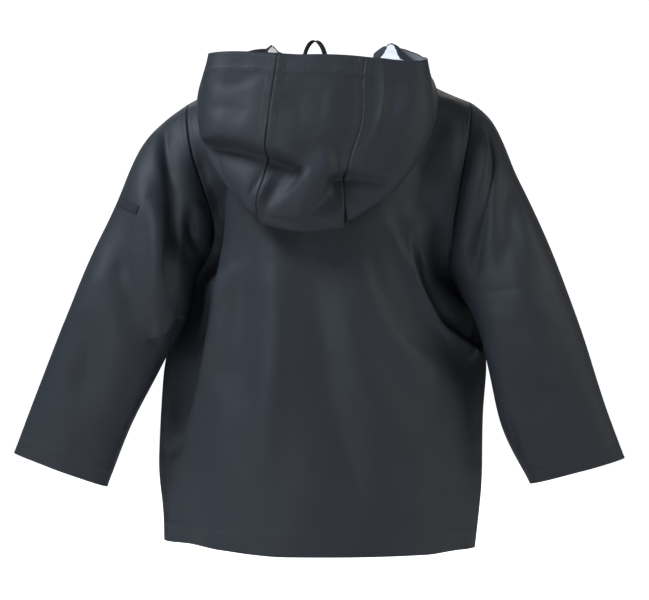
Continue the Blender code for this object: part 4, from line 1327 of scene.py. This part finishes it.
BODY_CREASES = (
    Crease(
        "long left ridge",
        ((92, -98), (99, -132), (104, -160), (112, -199), (120, -244), (127, -289), (135, -332),
         (146, -379), (162, -426), (175, -446)),
        -9, 56, 22, 0.2, 0.35, crisp=True,
    ),
    Crease("left crescent", ((178, -449), (168, -435), (162, -420)), -2.5, 5, 7),
    Crease("dark patch", ((85, -211), (94, -278), (105, -345), (117, -413)), -3.0, 16, 14, 0.2, 0.1),
    Crease(
        "left of middle",
        ((56, -195), (52, -267), (55, -323), (67, -424), (74, -491)),
        3.2, 18, 15, 0.3, 0.1,
    ),
    Crease("small crease", ((72, -406), (77, -433), (81, -460)), -1.5, 7, 3, crisp=True),
    Crease("lower light", ((101, -424), (97, -458), (85, -497)), 1.5, 12, 10, 0.1, 0.1),
    Crease(
        "middle valley",
        ((25, -197), (4, -278), (-15, -379), (-34, -446), (-56, -525)),
        -3.2, 20, 18, 0.3, 0.1,
    ),
    Crease("soft diagonal", ((0, -297), (-18, -336), (-38, -375), (-74, -425)), -1.6, 7, 9, 0.2, 0.1),
    Crease("second diagonal", ((-15, -407), (-32, -446), (-47, -487)), -1.2, 6, 8, 0.1, 0.1),
    Crease("right ridge", ((-32, -300), (-56, -348), (-85, -402), (-110, -458)), 1.8, 14, 12, 0.1, 0.1),
    Crease(
        "drag valley",
        ((-52, -197), (-58, -224), (-76, -269), (-90, -289), (-108, -309), (-128, -325), (-149, -339)),
        -4.6, 16, 11, 0.3, 0.2,
    ),
    Crease(
        "drag ridge",
        ((-70, -170), (-83, -203), (-97, -231), (-107, -253), (-120, -275), (-139, -304)),
        4.0, 6, 9, 0.2, 0.3,
    ),
    Crease("inner ridge", ((-133, -231), (-140, -253), (-155, -271), (-173, -285)), 2.6, 7, 6, 0.2, 0.3),
    Crease("small hollow", ((-121, -292), (-133, -305), (-139, -316)), -1.6, 4, 5),
    Crease("dark under hood right", ((-121, -76), (-110, -143), (-110, -199)), -13.0, 24, 24, 0.5, 0.2),
    Crease("right shoulder", ((-151, -53), (-146, -98), (-151, -150)), 1.6, 12, 12),
    Crease("right low", ((-139, -357), (-133, -424), (-124, -491)), -1.6, 16, 16),
    Tuck(
        "left hollow",
        ((97, -87), (105, -119), (111, -151), (119, -197), (129, -249), (138, -306), (154, -384),
         (168, -431)),
        lip=2.0, deep=8.5, width=6.0, behind=24, before=16, start=26, end=70, over=2.5,
    ),
    Tuck(
        "right hollow",
        ((-184, -323), (-160, -307), (-139, -292), (-125, -271), (-115, -249), (-107, -217), (-103, -184)),
        lip=4.5, deep=16, width=7, behind=16, before=24, start=8, end=56, over=3.0,
    ),
)

SLEEVE_LEFT_CREASES = (
    Crease(
        "top groove",
        ((181, -54), (179, -77), (174, -111), (164, -149)),
        -6.5, 7, 7, 0.3, 0.3, crisp=True,
    ),
    Crease(
        "front ridge",
        ((188, -77), (183, -117), (179, -169), (183, -224), (180, -262)),
        3.4, 7, 10, 0.3, 0.2,
    ),
    Crease("front valley", ((193, -154), (198, -183), (199, -217), (197, -262)), -3.4, 9, 8, 0.3, 0.3),
    Crease("inner valley", ((169, -163), (171, -199), (174, -231), (171, -267)), -4.0, 6, 4, 0.3, 0.2),
    Crease("inner ridge", ((156, -154), (159, -190), (163, -224), (162, -262)), 3.4, 5, 6, 0.3, 0.3),
    Crease("hollow", ((145, -169), (147, -188), (144, -206)), -11, 7, 6, 0.3, 0.3),
    Crease(
        "curl",
        ((138, -163), (131, -174), (129, -189), (132, -205), (141, -212), (149, -210)),
        4.0, 4, 5, 0.3, 0.3,
    ),
    Crease("below crease", ((165, -305), (179, -321), (195, -330)), 2.2, 7, 8, 0.3, 0.2),
    Crease("broad dark", ((229, -267), (247, -303), (262, -348), (281, -391)), -2.0, 14, 14, 0.1, 0.1),
    Crease("label side", ((215, -172), (217, -210), (226, -251)), -1.6, 9, 9, 0.2, 0.1),
    Crease("outer soft", ((242, -210), (256, -255), (274, -305)), 1.6, 12, 10, 0.1, 0.1),
    Crease("low inner", ((206, -348), (224, -391), (238, -432)), -1.8, 9, 9, 0.1, 0.1),
    Crease("cuff soft", ((276, -403), (290, -432), (299, -455)), 1.4, 12, 12, 0.1, 0.4),
    Crease("seam pucker 1", ((149, -99), (141, -104)), -1.6, 3.5, 3.5, 0.4, 0.4),
    Crease("seam pucker 2", ((146, -117), (136, -122)), -2.0, 3.5, 3.5, 0.4, 0.4),
    Crease("seam pucker 3", ((139, -138), (128, -140)), -2.2, 3.5, 3.5, 0.4, 0.4),
    Crease("seam pucker 4", ((135, -156), (122, -158)), -2.0, 3.5, 3.5, 0.4, 0.4),
    Tuck(
        "over the elbow",
        ((199, -310), (188, -314), (175, -308), (166, -298), (158, -285)),
        lip=4.0, deep=7.0, width=7, behind=22, before=20, start=16, end=5, over=2.0,
    ),
)

SLEEVE_RIGHT_CREASES = (
    Crease(
        "armhole step",
        ((-165, -86), (-162, -142), (-156, -188), (-153, -217), (-162, -249)),
        7.0, 16, 6, 0.3, 0.2,
    ),
    Crease("armpit face", ((-158, -194), (-168, -224), (-177, -255)), -1.6, 8, 8),
    Crease(
        "elbow crease",
        ((-172, -253), (-190, -257), (-211, -255), (-229, -252)),
        -1.4, 4, 6, 0.2, 0.1, crisp=True,
    ),
    Crease("elbow soft", ((-179, -274), (-201, -287), (-224, -292)), 1.4, 9, 9, 0.2, 0.1),
    Crease("low valley", ((-269, -341), (-254, -371), (-233, -403)), -1.8, 10, 10, 0.1, 0.1),
    Crease("outer soft", ((-215, -142), (-235, -194), (-256, -255)), 1.8, 12, 12, 0.1, 0.1),
    Crease("outer dark", ((-201, -149), (-217, -199), (-229, -240)), -1.8, 10, 10, 0.1, 0.1),
    Crease("cuff line", ((-198, -364), (-215, -414), (-233, -468)), -1.2, 3, 4, 0.2, 0.6, crisp=True),
    Crease("cuff soft", ((-276, -403), (-290, -432), (-301, -452)), 1.5, 13, 12, 0.1, 0.4),
    Tuck(
        "narrow ridge",
        ((-173, -249), (-174, -212), (-179, -181), (-185, -150), (-190, -122), (-191, -93), (-183, -61)),
        lip=8.0, deep=5.0, width=5.0, behind=14, before=13, start=24, end=26, over=0.6,
    ),
)

FRONT_CREASES = (
    Crease(
        "from the left chest",
        ((66, -96), (78, -170), (72, -250), (84, -350), (80, -440)),
        3.0, 16, 14, 0.2, 0.1,
    ),
    Crease("beside it", ((98, -150), (106, -240), (112, -340)), -3.2, 12, 16, 0.2, 0.1),
    Crease("left armpit drag", ((134, -226), (112, -262), (86, -286), (60, -300)), -3.4, 7, 11, 0.4, 0.1),
    Crease("left armpit ridge", ((138, -250), (118, -284), (92, -310)), 2.8, 7, 9, 0.3, 0.1),
    Crease(
        "from the right chest",
        ((-60, -100), (-74, -190), (-66, -290), (-78, -400), (-84, -480)),
        2.8, 14, 17, 0.2, 0.1,
    ),
    Crease("beside the right", ((-92, -170), (-104, -260), (-100, -360)), -2.8, 15, 12, 0.2, 0.1),
    Crease(
        "right armpit drag",
        ((-138, -230), (-118, -262), (-94, -280), (-70, -288)),
        -3.6, 11, 7, 0.4, 0.1,
    ),
    Crease("right armpit ridge", ((-146, -262), (-124, -296), (-98, -318)), 2.6, 9, 7, 0.3, 0.1),
    Crease("left low", ((40, -380), (50, -450), (46, -520)), -1.8, 12, 14, 0.1, 0.1),
    Crease("right low", ((-44, -330), (-36, -420), (-46, -510)), -1.8, 13, 12, 0.1, 0.1),
)

SLEEVE_FRONT_LEFT = (
    Crease("armhole drag", ((158, -160), (176, -200), (184, -248)), -3.2, 8, 9, 0.3, 0.2),
    Crease("upper ridge", ((176, -132), (198, -190), (206, -248)), 2.6, 9, 10),
    Crease("elbow break", ((196, -292), (218, -300), (244, -292)), -3.2, 7, 5, 0.3, 0.2, crisp=True),
    Crease("elbow ridge", ((200, -318), (226, -326), (256, -314)), 2.4, 8, 8, 0.3, 0.2),
    Crease("low fold", ((262, -330), (268, -380), (286, -430)), -2.0, 10, 10, 0.1, 0.1),
    Crease("outer fold", ((246, -214), (262, -270), (284, -330)), 1.8, 11, 11, 0.1, 0.1),
)

SLEEVE_FRONT_RIGHT = (
    Crease("armhole drag", ((-170, -158), (-186, -206), (-190, -256)), -3.0, 9, 8, 0.3, 0.2),
    Crease("upper ridge", ((-190, -134), (-206, -196), (-212, -256)), 2.4, 10, 9),
    Crease("elbow break", ((-206, -300), (-230, -306), (-258, -296)), -2.8, 5, 7, 0.3, 0.2, crisp=True),
    Crease("elbow ridge", ((-212, -328), (-238, -334), (-268, -322)), 2.2, 8, 8, 0.3, 0.2),
    Crease("low fold", ((-268, -340), (-276, -392), (-292, -438)), -1.8, 10, 10, 0.1, 0.1),
    Crease("outer fold", ((-250, -208), (-268, -262), (-290, -326)), 1.8, 11, 11, 0.1, 0.1),
)

HOOD_PULLS = (
    Pull("right seam, middle", (-36, 130, -72), (34, 60, 46), (-11, 0, 0)),
    Pull("right seam, top", (-46, 130, 10), (30, 60, 34), (-4, 0, 0)),
    Pull("right seam, bottom", (-22, 110, -176), (26, 60, 34), (-9, 0, 0)),
    Pull("left seam, middle", (56, 130, -60), (28, 60, 70), (4.5, 0, 0)),
    Pull("left seam, bottom", (62, 110, -160), (26, 60, 34), (11, 0, 0)),
)
HOLLOW = (
    Pull("under the hood", (130, 52, -122), (14, 60, 26), (0, -14, 0)),
    Pull("beside the ridge", (119, 52, -154), (12, 60, 22), (0, -25, 0)),
    Pull("below it", (123, 50, -188), (12, 60, 22), (0, -26, 0)),
    Pull("at the seam", (133, 46, -224), (14, 60, 22), (0, -22, 0)),
    Pull("at the side", (142, 42, -258), (15, 60, 24), (0, -17, 0)),
    Pull("low", (150, 40, -292), (16, 60, 26), (0, -10, 0)),
)
RIGHT_HOLLOW = (
    Pull("above the armpit", (-130, 48, -186), (20, 60, 34), (0, -11, 0)),
    Pull("at the armpit", (-137, 44, -232), (17, 60, 28), (0, -9, 0)),
)
HOOD_FOLDS = {Side.BACK: HOOD_CREASES}
FRONT_FOLDS = {Side.FRONT: FRONT_CREASES}
LEFT_ARMPIT = Pull("left armpit", (152, 30, -252), (24, 60, 34), (5, 0, 0))
RIGHT_ARMPIT = Pull("right armpit", (-162, 20, -262), (26, 70, 42), (-6, 0, 0))
LEFT_SLEEVE_PULLS = (Pull("inner side", (160, 40, -250), (20, 60, 34), (-6, 0, 0)),)
RIGHT_SLEEVE_PULLS = (Pull("inner side", (-158, 30, -250), (22, 60, 42), (7, 0, 0)),)

# fmt: on

# ---------------------------------------------------------------- the coat


def settle(panels: list[Panel]) -> None:
    """Lets panels meet halfway where their folds differ at a seam.

    Args:
        panels: the sewn panels, with their heights read.
    """
    shifts = {}
    for panel in panels:
        for key, partners in panel.partners.items():
            other = [p.height[k] for p, k in partners]
            mean = (panel.height[key] + sum(other)) / (1 + len(other))
            shifts[(panel.node, key)] = mean - panel.height[key]
    for panel in panels:
        keys = list(panel.partners)
        if not keys:
            continue
        tree = KDTree(len(keys))
        for k, key in enumerate(keys):
            tree.insert(panel.sheet.points[key], k)
        tree.balance()
        flat = panel.sheet.points.reshape(-1, 3)
        height = panel.height.reshape(-1)
        for v in range(len(flat)):
            _, k, distance = tree.find(flat[v])
            if distance < MEET_WITHIN * MM:
                share = math.exp(-((distance / (MEET_SOFT * MM)) ** 2))
                height[v] += shifts[(panel.node, keys[k])] * share


@dataclass
class Stitching:
    """Rows of stitches, each a small bead of thread pressed into the cloth.

    Attributes:
        name: the piece's name.
        length: of one stitch.
        pitch: from one stitch to the next.
        width: the thread's.
        points: the beads' points so far, bead by bead.
        faces: their faces.
    """

    name: str
    length: float = 2.5
    pitch: float = 3.3
    width: float = 0.62
    points: list[np.ndarray] = field(default_factory=list)
    faces: list[tuple[int, ...]] = field(default_factory=list)

    def sew(self, line: np.ndarray, normals: np.ndarray, closed: bool = False) -> None:
        """Adds one row of stitches.

        Args:
            line: points of the row, on the cloth.
            normals: the way out of the cloth at each.
            closed: whether the row is a ring.
        """
        if closed:
            line, normals = np.concatenate([line, line[:1]]), np.concatenate([normals, normals[:1]])
        run = np.concatenate([[0], np.linalg.norm(np.diff(line, axis=0), axis=1).cumsum()]) / MM
        count = int(run[-1] // self.pitch)
        for k in range(count):
            middle = (k + 0.5) * run[-1] / count
            spots = (middle - self.length / 2, middle + self.length / 2)
            ends = [np.array([np.interp(spot, run, line[:, i]) for i in range(3)]) for spot in spots]
            up = unit(np.array([np.interp(middle, run, normals[:, i]) for i in range(3)]))
            way = unit(ends[1] - ends[0])
            side = unit(np.cross(up, way))
            first = sum(len(bead) for bead in self.points)
            ring = []
            for at, rise in ((0.22, 0.34), (0.78, 0.34)):
                centre = ends[0] * (1 - at) + ends[1] * at + up * rise * self.width * 0.3 * MM
                for a, b in ((1, 0), (0, 0.9), (-1, 0), (0, -0.6)):
                    ring.append(centre + (side * a + up * b) * self.width * 0.5 * MM)
            tips = [ends[0] - up * 0.1 * MM, ends[1] - up * 0.1 * MM]
            self.points.append(np.array([*ring, *tips]))
            for j in range(4):
                n = (j + 1) % 4
                self.faces += [
                    (first + j, first + n, first + 4 + n, first + 4 + j),
                    (first + n, first + j, first + 8),
                    (first + 4 + j, first + 4 + n, first + 9),
                ]

    def build(self, thread: bpy.types.Material, slot: str) -> bpy.types.Object:
        """Makes the piece.

        Args:
            thread: the beads' material.
            slot: the record's material.

        Returns:
            The piece.
        """
        piece = place_piece(self.name, np.concatenate(self.points), self.faces, [thread])
        edit_alone(piece)
        bpy.ops.mesh.normals_make_consistent(inside=False)
        bpy.ops.object.mode_set(mode="OBJECT")
        return carried(piece, slot)


@dataclass
class Coat:
    """The sewn coat: its panels, lining, placket, loop and tag, with their stitching.

    Attributes:
        cloth: the outside's finish.
        backing: the inside's.
        jersey: the hood lining's.
        band: the loop's and the tag's.
        thread: the stitches'.
    """

    cloth: CoatedCloth = field(default_factory=CoatedCloth)
    backing: KnitBacking = field(default_factory=KnitBacking)
    jersey: WhiteJersey = field(default_factory=WhiteJersey)
    band: Band = field(default_factory=Band)
    thread: Thread = field(default_factory=Thread)

    def panels(self) -> list[Panel]:
        """Lists the eight panels of coated cloth.

        Returns:
            The panels, not yet read.
        """
        back, front, up, down = (0, 1, 0), (0, -1, 0), (0, 0, 1), (0, 0, -1)
        body = {"first": Edge.SEAM, "last": Edge.SEAM, "top": Edge.HEM, "bottom": Edge.SEAM}
        tube = {"top": Edge.SEAM, "bottom": Edge.HEM}
        hood = {"top": Edge.HEM, "bottom": Edge.SEAM}
        sides = {"first": 9.0, "last": 9.0}
        made = [
            Panel(
                "back", 26, 33, back, down,
                edges=body, creases={Side.BACK: BODY_CREASES}, smooth=44, held=sides,
                pulls=(LEFT_ARMPIT, RIGHT_ARMPIT, *HOLLOW, *RIGHT_HOLLOW),
            )
        ]  # fmt: skip
        for name, pulls in (("left", (LEFT_ARMPIT, *HOLLOW)), ("right", (RIGHT_ARMPIT, *RIGHT_HOLLOW))):
            made.append(
                Panel(
                    f"front_{name}", 26, 14, front, down,
                    edges=dict(body), creases=FRONT_FOLDS, spacing=3.4, held=sides, pulls=pulls,
                )
            )  # fmt: skip
        for name, way, folds, pulls in (
            ("left", 1, (SLEEVE_LEFT_CREASES, SLEEVE_FRONT_LEFT), (*LEFT_SLEEVE_PULLS, *HOLLOW)),
            ("right", -1, (SLEEVE_RIGHT_CREASES, SLEEVE_FRONT_RIGHT), (*RIGHT_SLEEVE_PULLS, *RIGHT_HOLLOW)),
        ):
            creases = dict(zip((Side.BACK, Side.FRONT), folds))
            made.append(
                Panel(
                    f"sleeve_{name}", 18, 22, (way, 0, 0), up, True,
                    edges=tube, creases=creases, spacing=2.5, held={"top": 9.0}, pulls=pulls,
                )
            )  # fmt: skip
        for name, columns in (("right", 14), ("middle", 9), ("left", 14)):
            made.append(
                Panel(
                    f"hood_{name}", 22, columns, back, up,
                    edges=dict(hood), creases=HOOD_FOLDS, spacing=2.1, smooth=34, pulls=HOOD_PULLS,
                )
            )  # fmt: skip
        return made

    def small_panels(self) -> list[Panel]:
        """The lining, the placket, the tag and the loop."""
        back, front, up, down = (0, 1, 0), (0, -1, 0), (0, 0, 1), (0, 0, -1)
        return [
            Panel(
                "hood_lining", 16, 35, back, up,
                creases=HOOD_FOLDS, wall=JERSEY_WALL, rim=1.05, raised=-5.0, pulls=HOOD_PULLS, smooth=30,
            ),
            Panel("placket", 25, 3, front, down, creases=FRONT_FOLDS, wall=2.0, rim=2.5),
            Panel("sleeve_label", 9, 33, (1, 1, 0), up, wall=0.8),
            Panel("hanging_loop", 23, 2, up, (1, 0, 0), wall=1.2, rim=1.25, spacing=1.0, slack=0.0),
        ]  # fmt: skip

    def build(self) -> None:
        """Builds and dresses all of it."""
        outside, inside = self.cloth.build(), self.backing.build()
        knit, woven, thread = self.jersey.build(), self.band.build(), self.thread.build()
        panels = self.panels()
        for panel in panels:
            panel.read()
        share_ways(panels)
        for panel in panels:
            if panel.node.startswith(("hood", "front")):
                panel.find_seams()
            panel.read_folds()
        settle(panels)
        for panel in panels:
            panel.fold()
        share_ways(panels, after=True)
        join_ends(panels)
        made = {panel.node: panel.build([outside, inside], "coated_cloth") for panel in panels}
        by_name = {panel.node: panel for panel in panels}
        lining, placket, label, loop = self.small_panels()
        for panel in (lining, placket, loop):
            panel.read()
            panel.read_folds()
            panel.fold()
        label.lay_on(by_name["sleeve_left"], TAG_END, TAG_SIZE, TAG_SLOPE)
        made["hood_lining"] = lining.build([knit, outside], "lining_jersey")
        made["placket"] = placket.build([outside, inside], "coated_cloth")
        made["sleeve_label"] = label.build([woven, woven], "woven_label")
        loop.build([woven, woven], "loop_tape")
        small = (lining, placket, label)
        by_name |= {panel.node: panel for panel in small}
        sewing = self.sew(by_name, thread)

    def sew(
        self, panels: dict[str, Panel], thread: bpy.types.Material
    ) -> dict[str, list[bpy.types.Object]]:
        """Sews the hems, the placket and the tag.

        Args:
            panels: the panels, by their nodes.
            thread: the stitches' material.

        Returns:
            The stitching that goes with each panel.
        """
        plan = {
            "brim_stitches": [(n, "top", HEM_ROW) for n in ("hood_right", "hood_middle", "hood_left")],
            "hem_stitches": [(n, "top", HEM_ROW) for n in ("back", "front_left", "front_right")],
            "cuff_stitches_left": [("sleeve_left", "bottom", HEM_ROW)],
            "cuff_stitches_right": [("sleeve_right", "bottom", HEM_ROW)],
            "placket_stitches": [("placket", side, PLACKET_ROW) for side in ("first", "last")],
            "tag_stitches": [("sleeve_label", side, TAG_ROW) for side in ("first", "last")],
        }
        made: dict[str, list[bpy.types.Object]] = {}
        for name, rows in plan.items():
            work = Stitching(name)
            for node, border, inset in rows:
                panel = panels[node]
                line, normals = panel.sheet.inset(border, inset)
                work.sew(line, normals, panel.closed)
            piece = work.build(thread, "woven_label" if name.startswith("tag") else "coated_cloth")
            made.setdefault(rows[0][0], []).append(piece)
        return made


@dataclass
class SnapCap:
    """A domed snap cap with a rolled rim and a dished middle.

    Attributes:
        radius: of its rim.
        height: over its foot.
        steps: round its axis.
    """

    radius: float = 6.0
    height: float = 2.0
    steps: int = 40

    def profile(self) -> list[tuple[float, float]]:
        """Its half section, from the middle of the top down to its foot."""
        r, h = self.radius, self.height
        return [
            (0, h - 0.75), (r * 0.30, h - 0.72), (r * 0.52, h - 0.55), (r * 0.60, h - 0.30),
            (r * 0.68, h - 0.06), (r * 0.78, h), (r * 0.88, h - 0.08), (r * 0.96, h - 0.35),
            (r, h - 0.8), (r, 0.55), (r * 0.96, 0.15), (r * 0.88, 0), (r * 0.5, 0), (0, 0),
        ]  # fmt: skip

    def build(self, node: str, lacquer: bpy.types.Material) -> bpy.types.Object:
        """Spins the section about the snap's own axis, in the place of its solid.

        Args:
            node: the snap's solid.
            lacquer: the cap's material.

        Returns:
            The piece.
        """
        mesh = bpy.data.objects[node].data
        points = np.array([v.co for v in mesh.vertices])
        middle = points.mean(axis=0)
        axis = np.linalg.svd(points - middle, full_matrices=False)[2][2]
        axis = axis if axis[1] < 0 else -axis
        foot = middle + axis * ((points - middle) @ axis).min()
        side = unit(np.cross(axis, np.array([1.0, 0, 0])))
        start = np.array([foot + (side * r + axis * h) * MM for r, h in self.profile()])
        cap = bpy.data.meshes.new(f"{node}_cap")
        cap.from_pydata(start.tolist(), [(k, k + 1) for k in range(len(start) - 1)], [])
        cap.materials.append(lacquer)
        piece = bpy.data.objects.new(f"{node}_cap", cap)
        bpy.context.scene.collection.objects.link(piece)
        edit_alone(piece)
        bpy.ops.mesh.spin(steps=self.steps, angle=math.tau, center=tuple(foot), axis=tuple(axis))
        bpy.ops.mesh.select_all(action="SELECT")
        bpy.ops.mesh.remove_doubles(threshold=1e-5)
        bpy.ops.mesh.normals_make_consistent(inside=False)
        bpy.ops.object.mode_set(mode="OBJECT")
        bpy.ops.object.shade_smooth()
        return carried(piece, "snap_metal", node)


@dataclass
class Studio:
    """A pale floor that rises behind, with soft lights and the camera.

    Attributes:
        floor: its height, in metres.
        half: half its width.
        ends: where it begins and where it starts to rise, along y.
        bend: the radius by which it rises.
        top: how high it rises.
        ground: its colour.
        middle: what most of the lights are turned to.
        eye: the camera's place.
        lens: the camera's focal length, in millimetres.
    """

    floor: float = -0.70
    half: float = 6.0
    ends: tuple[float, float] = (4.2, -4.0)
    bend: float = 1.2
    top: float = 4.5
    ground: tuple[float, float, float] = (0.93, 0.93, 0.93)
    middle: tuple[float, float, float] = (0, 0, -0.27)
    eye: tuple[float, float, float] = (-0.0029, 2.8, -0.2668)
    lens: float = 135.05

    def build(self) -> None:
        """Sets the stage, the lights and the camera."""
        self.stage()
        self.world()
        self.light("key", (1.25, 0.88, 1.3), self.middle, 0.6, 61.0, (0.80, 0.90, 1.0))
        self.light("fill", (-2.3, 0.7, 0.55), self.middle, 1.1, 27.0, (1.0, 0.97, 0.92))
        self.light("low", (1.2, 2.3, -0.5), (0.05, 0, -0.5), 0.3, 8.0, (1.0, 0.98, 0.96))
        self.light("behind", (0.0, -2.6, 1.2), self.middle, 2.2, 40.0, (1.0, 1.0, 1.0))
        camera = bpy.data.cameras.new("camera")
        camera.lens, camera.sensor_width = self.lens, 36.0
        seen = bpy.data.objects.new("camera", camera)
        seen.location = self.eye
        seen.rotation_euler = (math.pi / 2, 0, math.pi)
        bpy.context.scene.collection.objects.link(seen)
        bpy.context.scene.camera = seen
        bpy.context.scene.view_settings.view_transform = "Standard"

    def stage(self) -> None:
        """A floor that curves up far behind, and is seen white."""
        start, rise = self.ends
        r = self.bend
        profile = [(start, 0.0), (rise, 0.0)]
        turns = np.linspace(0.15, math.pi / 2, 10)
        profile += [(rise - math.sin(a) * r, r - math.cos(a) * r) for a in turns]
        profile.append((rise - r, self.top))
        points = np.array([(x, y, self.floor + z) for y, z in profile for x in (-self.half, self.half)])
        faces = [(2 * k, 2 * k + 1, 2 * k + 3, 2 * k + 2) for k in range(len(profile) - 1)]
        n = Nodes("ground")
        shade = n.mix(n.noise(n.place(), 0.8), tuple(c * 0.99 for c in self.ground), self.ground)
        seen = n.add("ShaderNodeLightPath").outputs["Is Camera Ray"]
        matt = n.add("ShaderNodeBsdfDiffuse", {"Color": shade}).outputs[0]
        glow = n.add("ShaderNodeEmission", {"Color": (1, 1, 1, 1), "Strength": 0.86}).outputs[0]
        both = n.add("ShaderNodeAddShader", {0: matt, 1: glow}).outputs[0]
        mixed = n.add("ShaderNodeMixShader", {0: seen, 1: matt, 2: both}).outputs[0]
        n.add("ShaderNodeOutputMaterial", {"Surface": mixed})
        place_piece("ground", points, faces, [n.material])

    def world(self) -> None:
        """Dim soft light from all round, on a white ground."""
        world = bpy.data.worlds.new("studio")
        bpy.context.scene.world = world
        world.use_nodes = True
        tree = world.node_tree
        tree.nodes.clear()
        seen = tree.nodes.new("ShaderNodeLightPath")
        dim, white = tree.nodes.new("ShaderNodeBackground"), tree.nodes.new("ShaderNodeBackground")
        dim.inputs["Color"].default_value, dim.inputs["Strength"].default_value = (0.93, 0.96, 1.0, 1), 0.07
        white.inputs["Color"].default_value, white.inputs["Strength"].default_value = (1, 1, 1, 1), 1.0
        mixed, out = tree.nodes.new("ShaderNodeMixShader"), tree.nodes.new("ShaderNodeOutputWorld")
        tree.links.new(seen.outputs["Is Camera Ray"], mixed.inputs[0])
        tree.links.new(dim.outputs[0], mixed.inputs[1])
        tree.links.new(white.outputs[0], mixed.inputs[2])
        tree.links.new(mixed.outputs[0], out.inputs["Surface"])

    def light(
        self,
        name: str,
        place: tuple[float, float, float],
        aim: tuple[float, float, float],
        size: float,
        power: float,
        colour: tuple[float, float, float],
    ) -> None:
        """A square soft box.

        Args:
            name: its name.
            place: where it stands.
            aim: what it is turned to.
            size: its side, in metres.
            power: in watts.
            colour: of its light.
        """
        data = bpy.data.lights.new(name, "AREA")
        data.shape, data.size, data.energy, data.color = "SQUARE", size, power, colour
        lamp = bpy.data.objects.new(name, data)
        lamp.location = place
        lamp.rotation_euler = (Vector(aim) - Vector(place)).to_track_quat("-Z", "Y").to_euler()
        bpy.context.scene.collection.objects.link(lamp)


def main() -> None:
    """Builds the coat on its solids, and the studio round it."""
    logging.basicConfig(level=logging.INFO, format="%(name)s: %(message)s")
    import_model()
    Coat().build()
    lacquer = SnapLacquer().build()
    for k in range(1, 6):
        SnapCap().build(f"snap_{k}", lacquer)
    Studio().build()


if __name__ == "__main__":
    main()
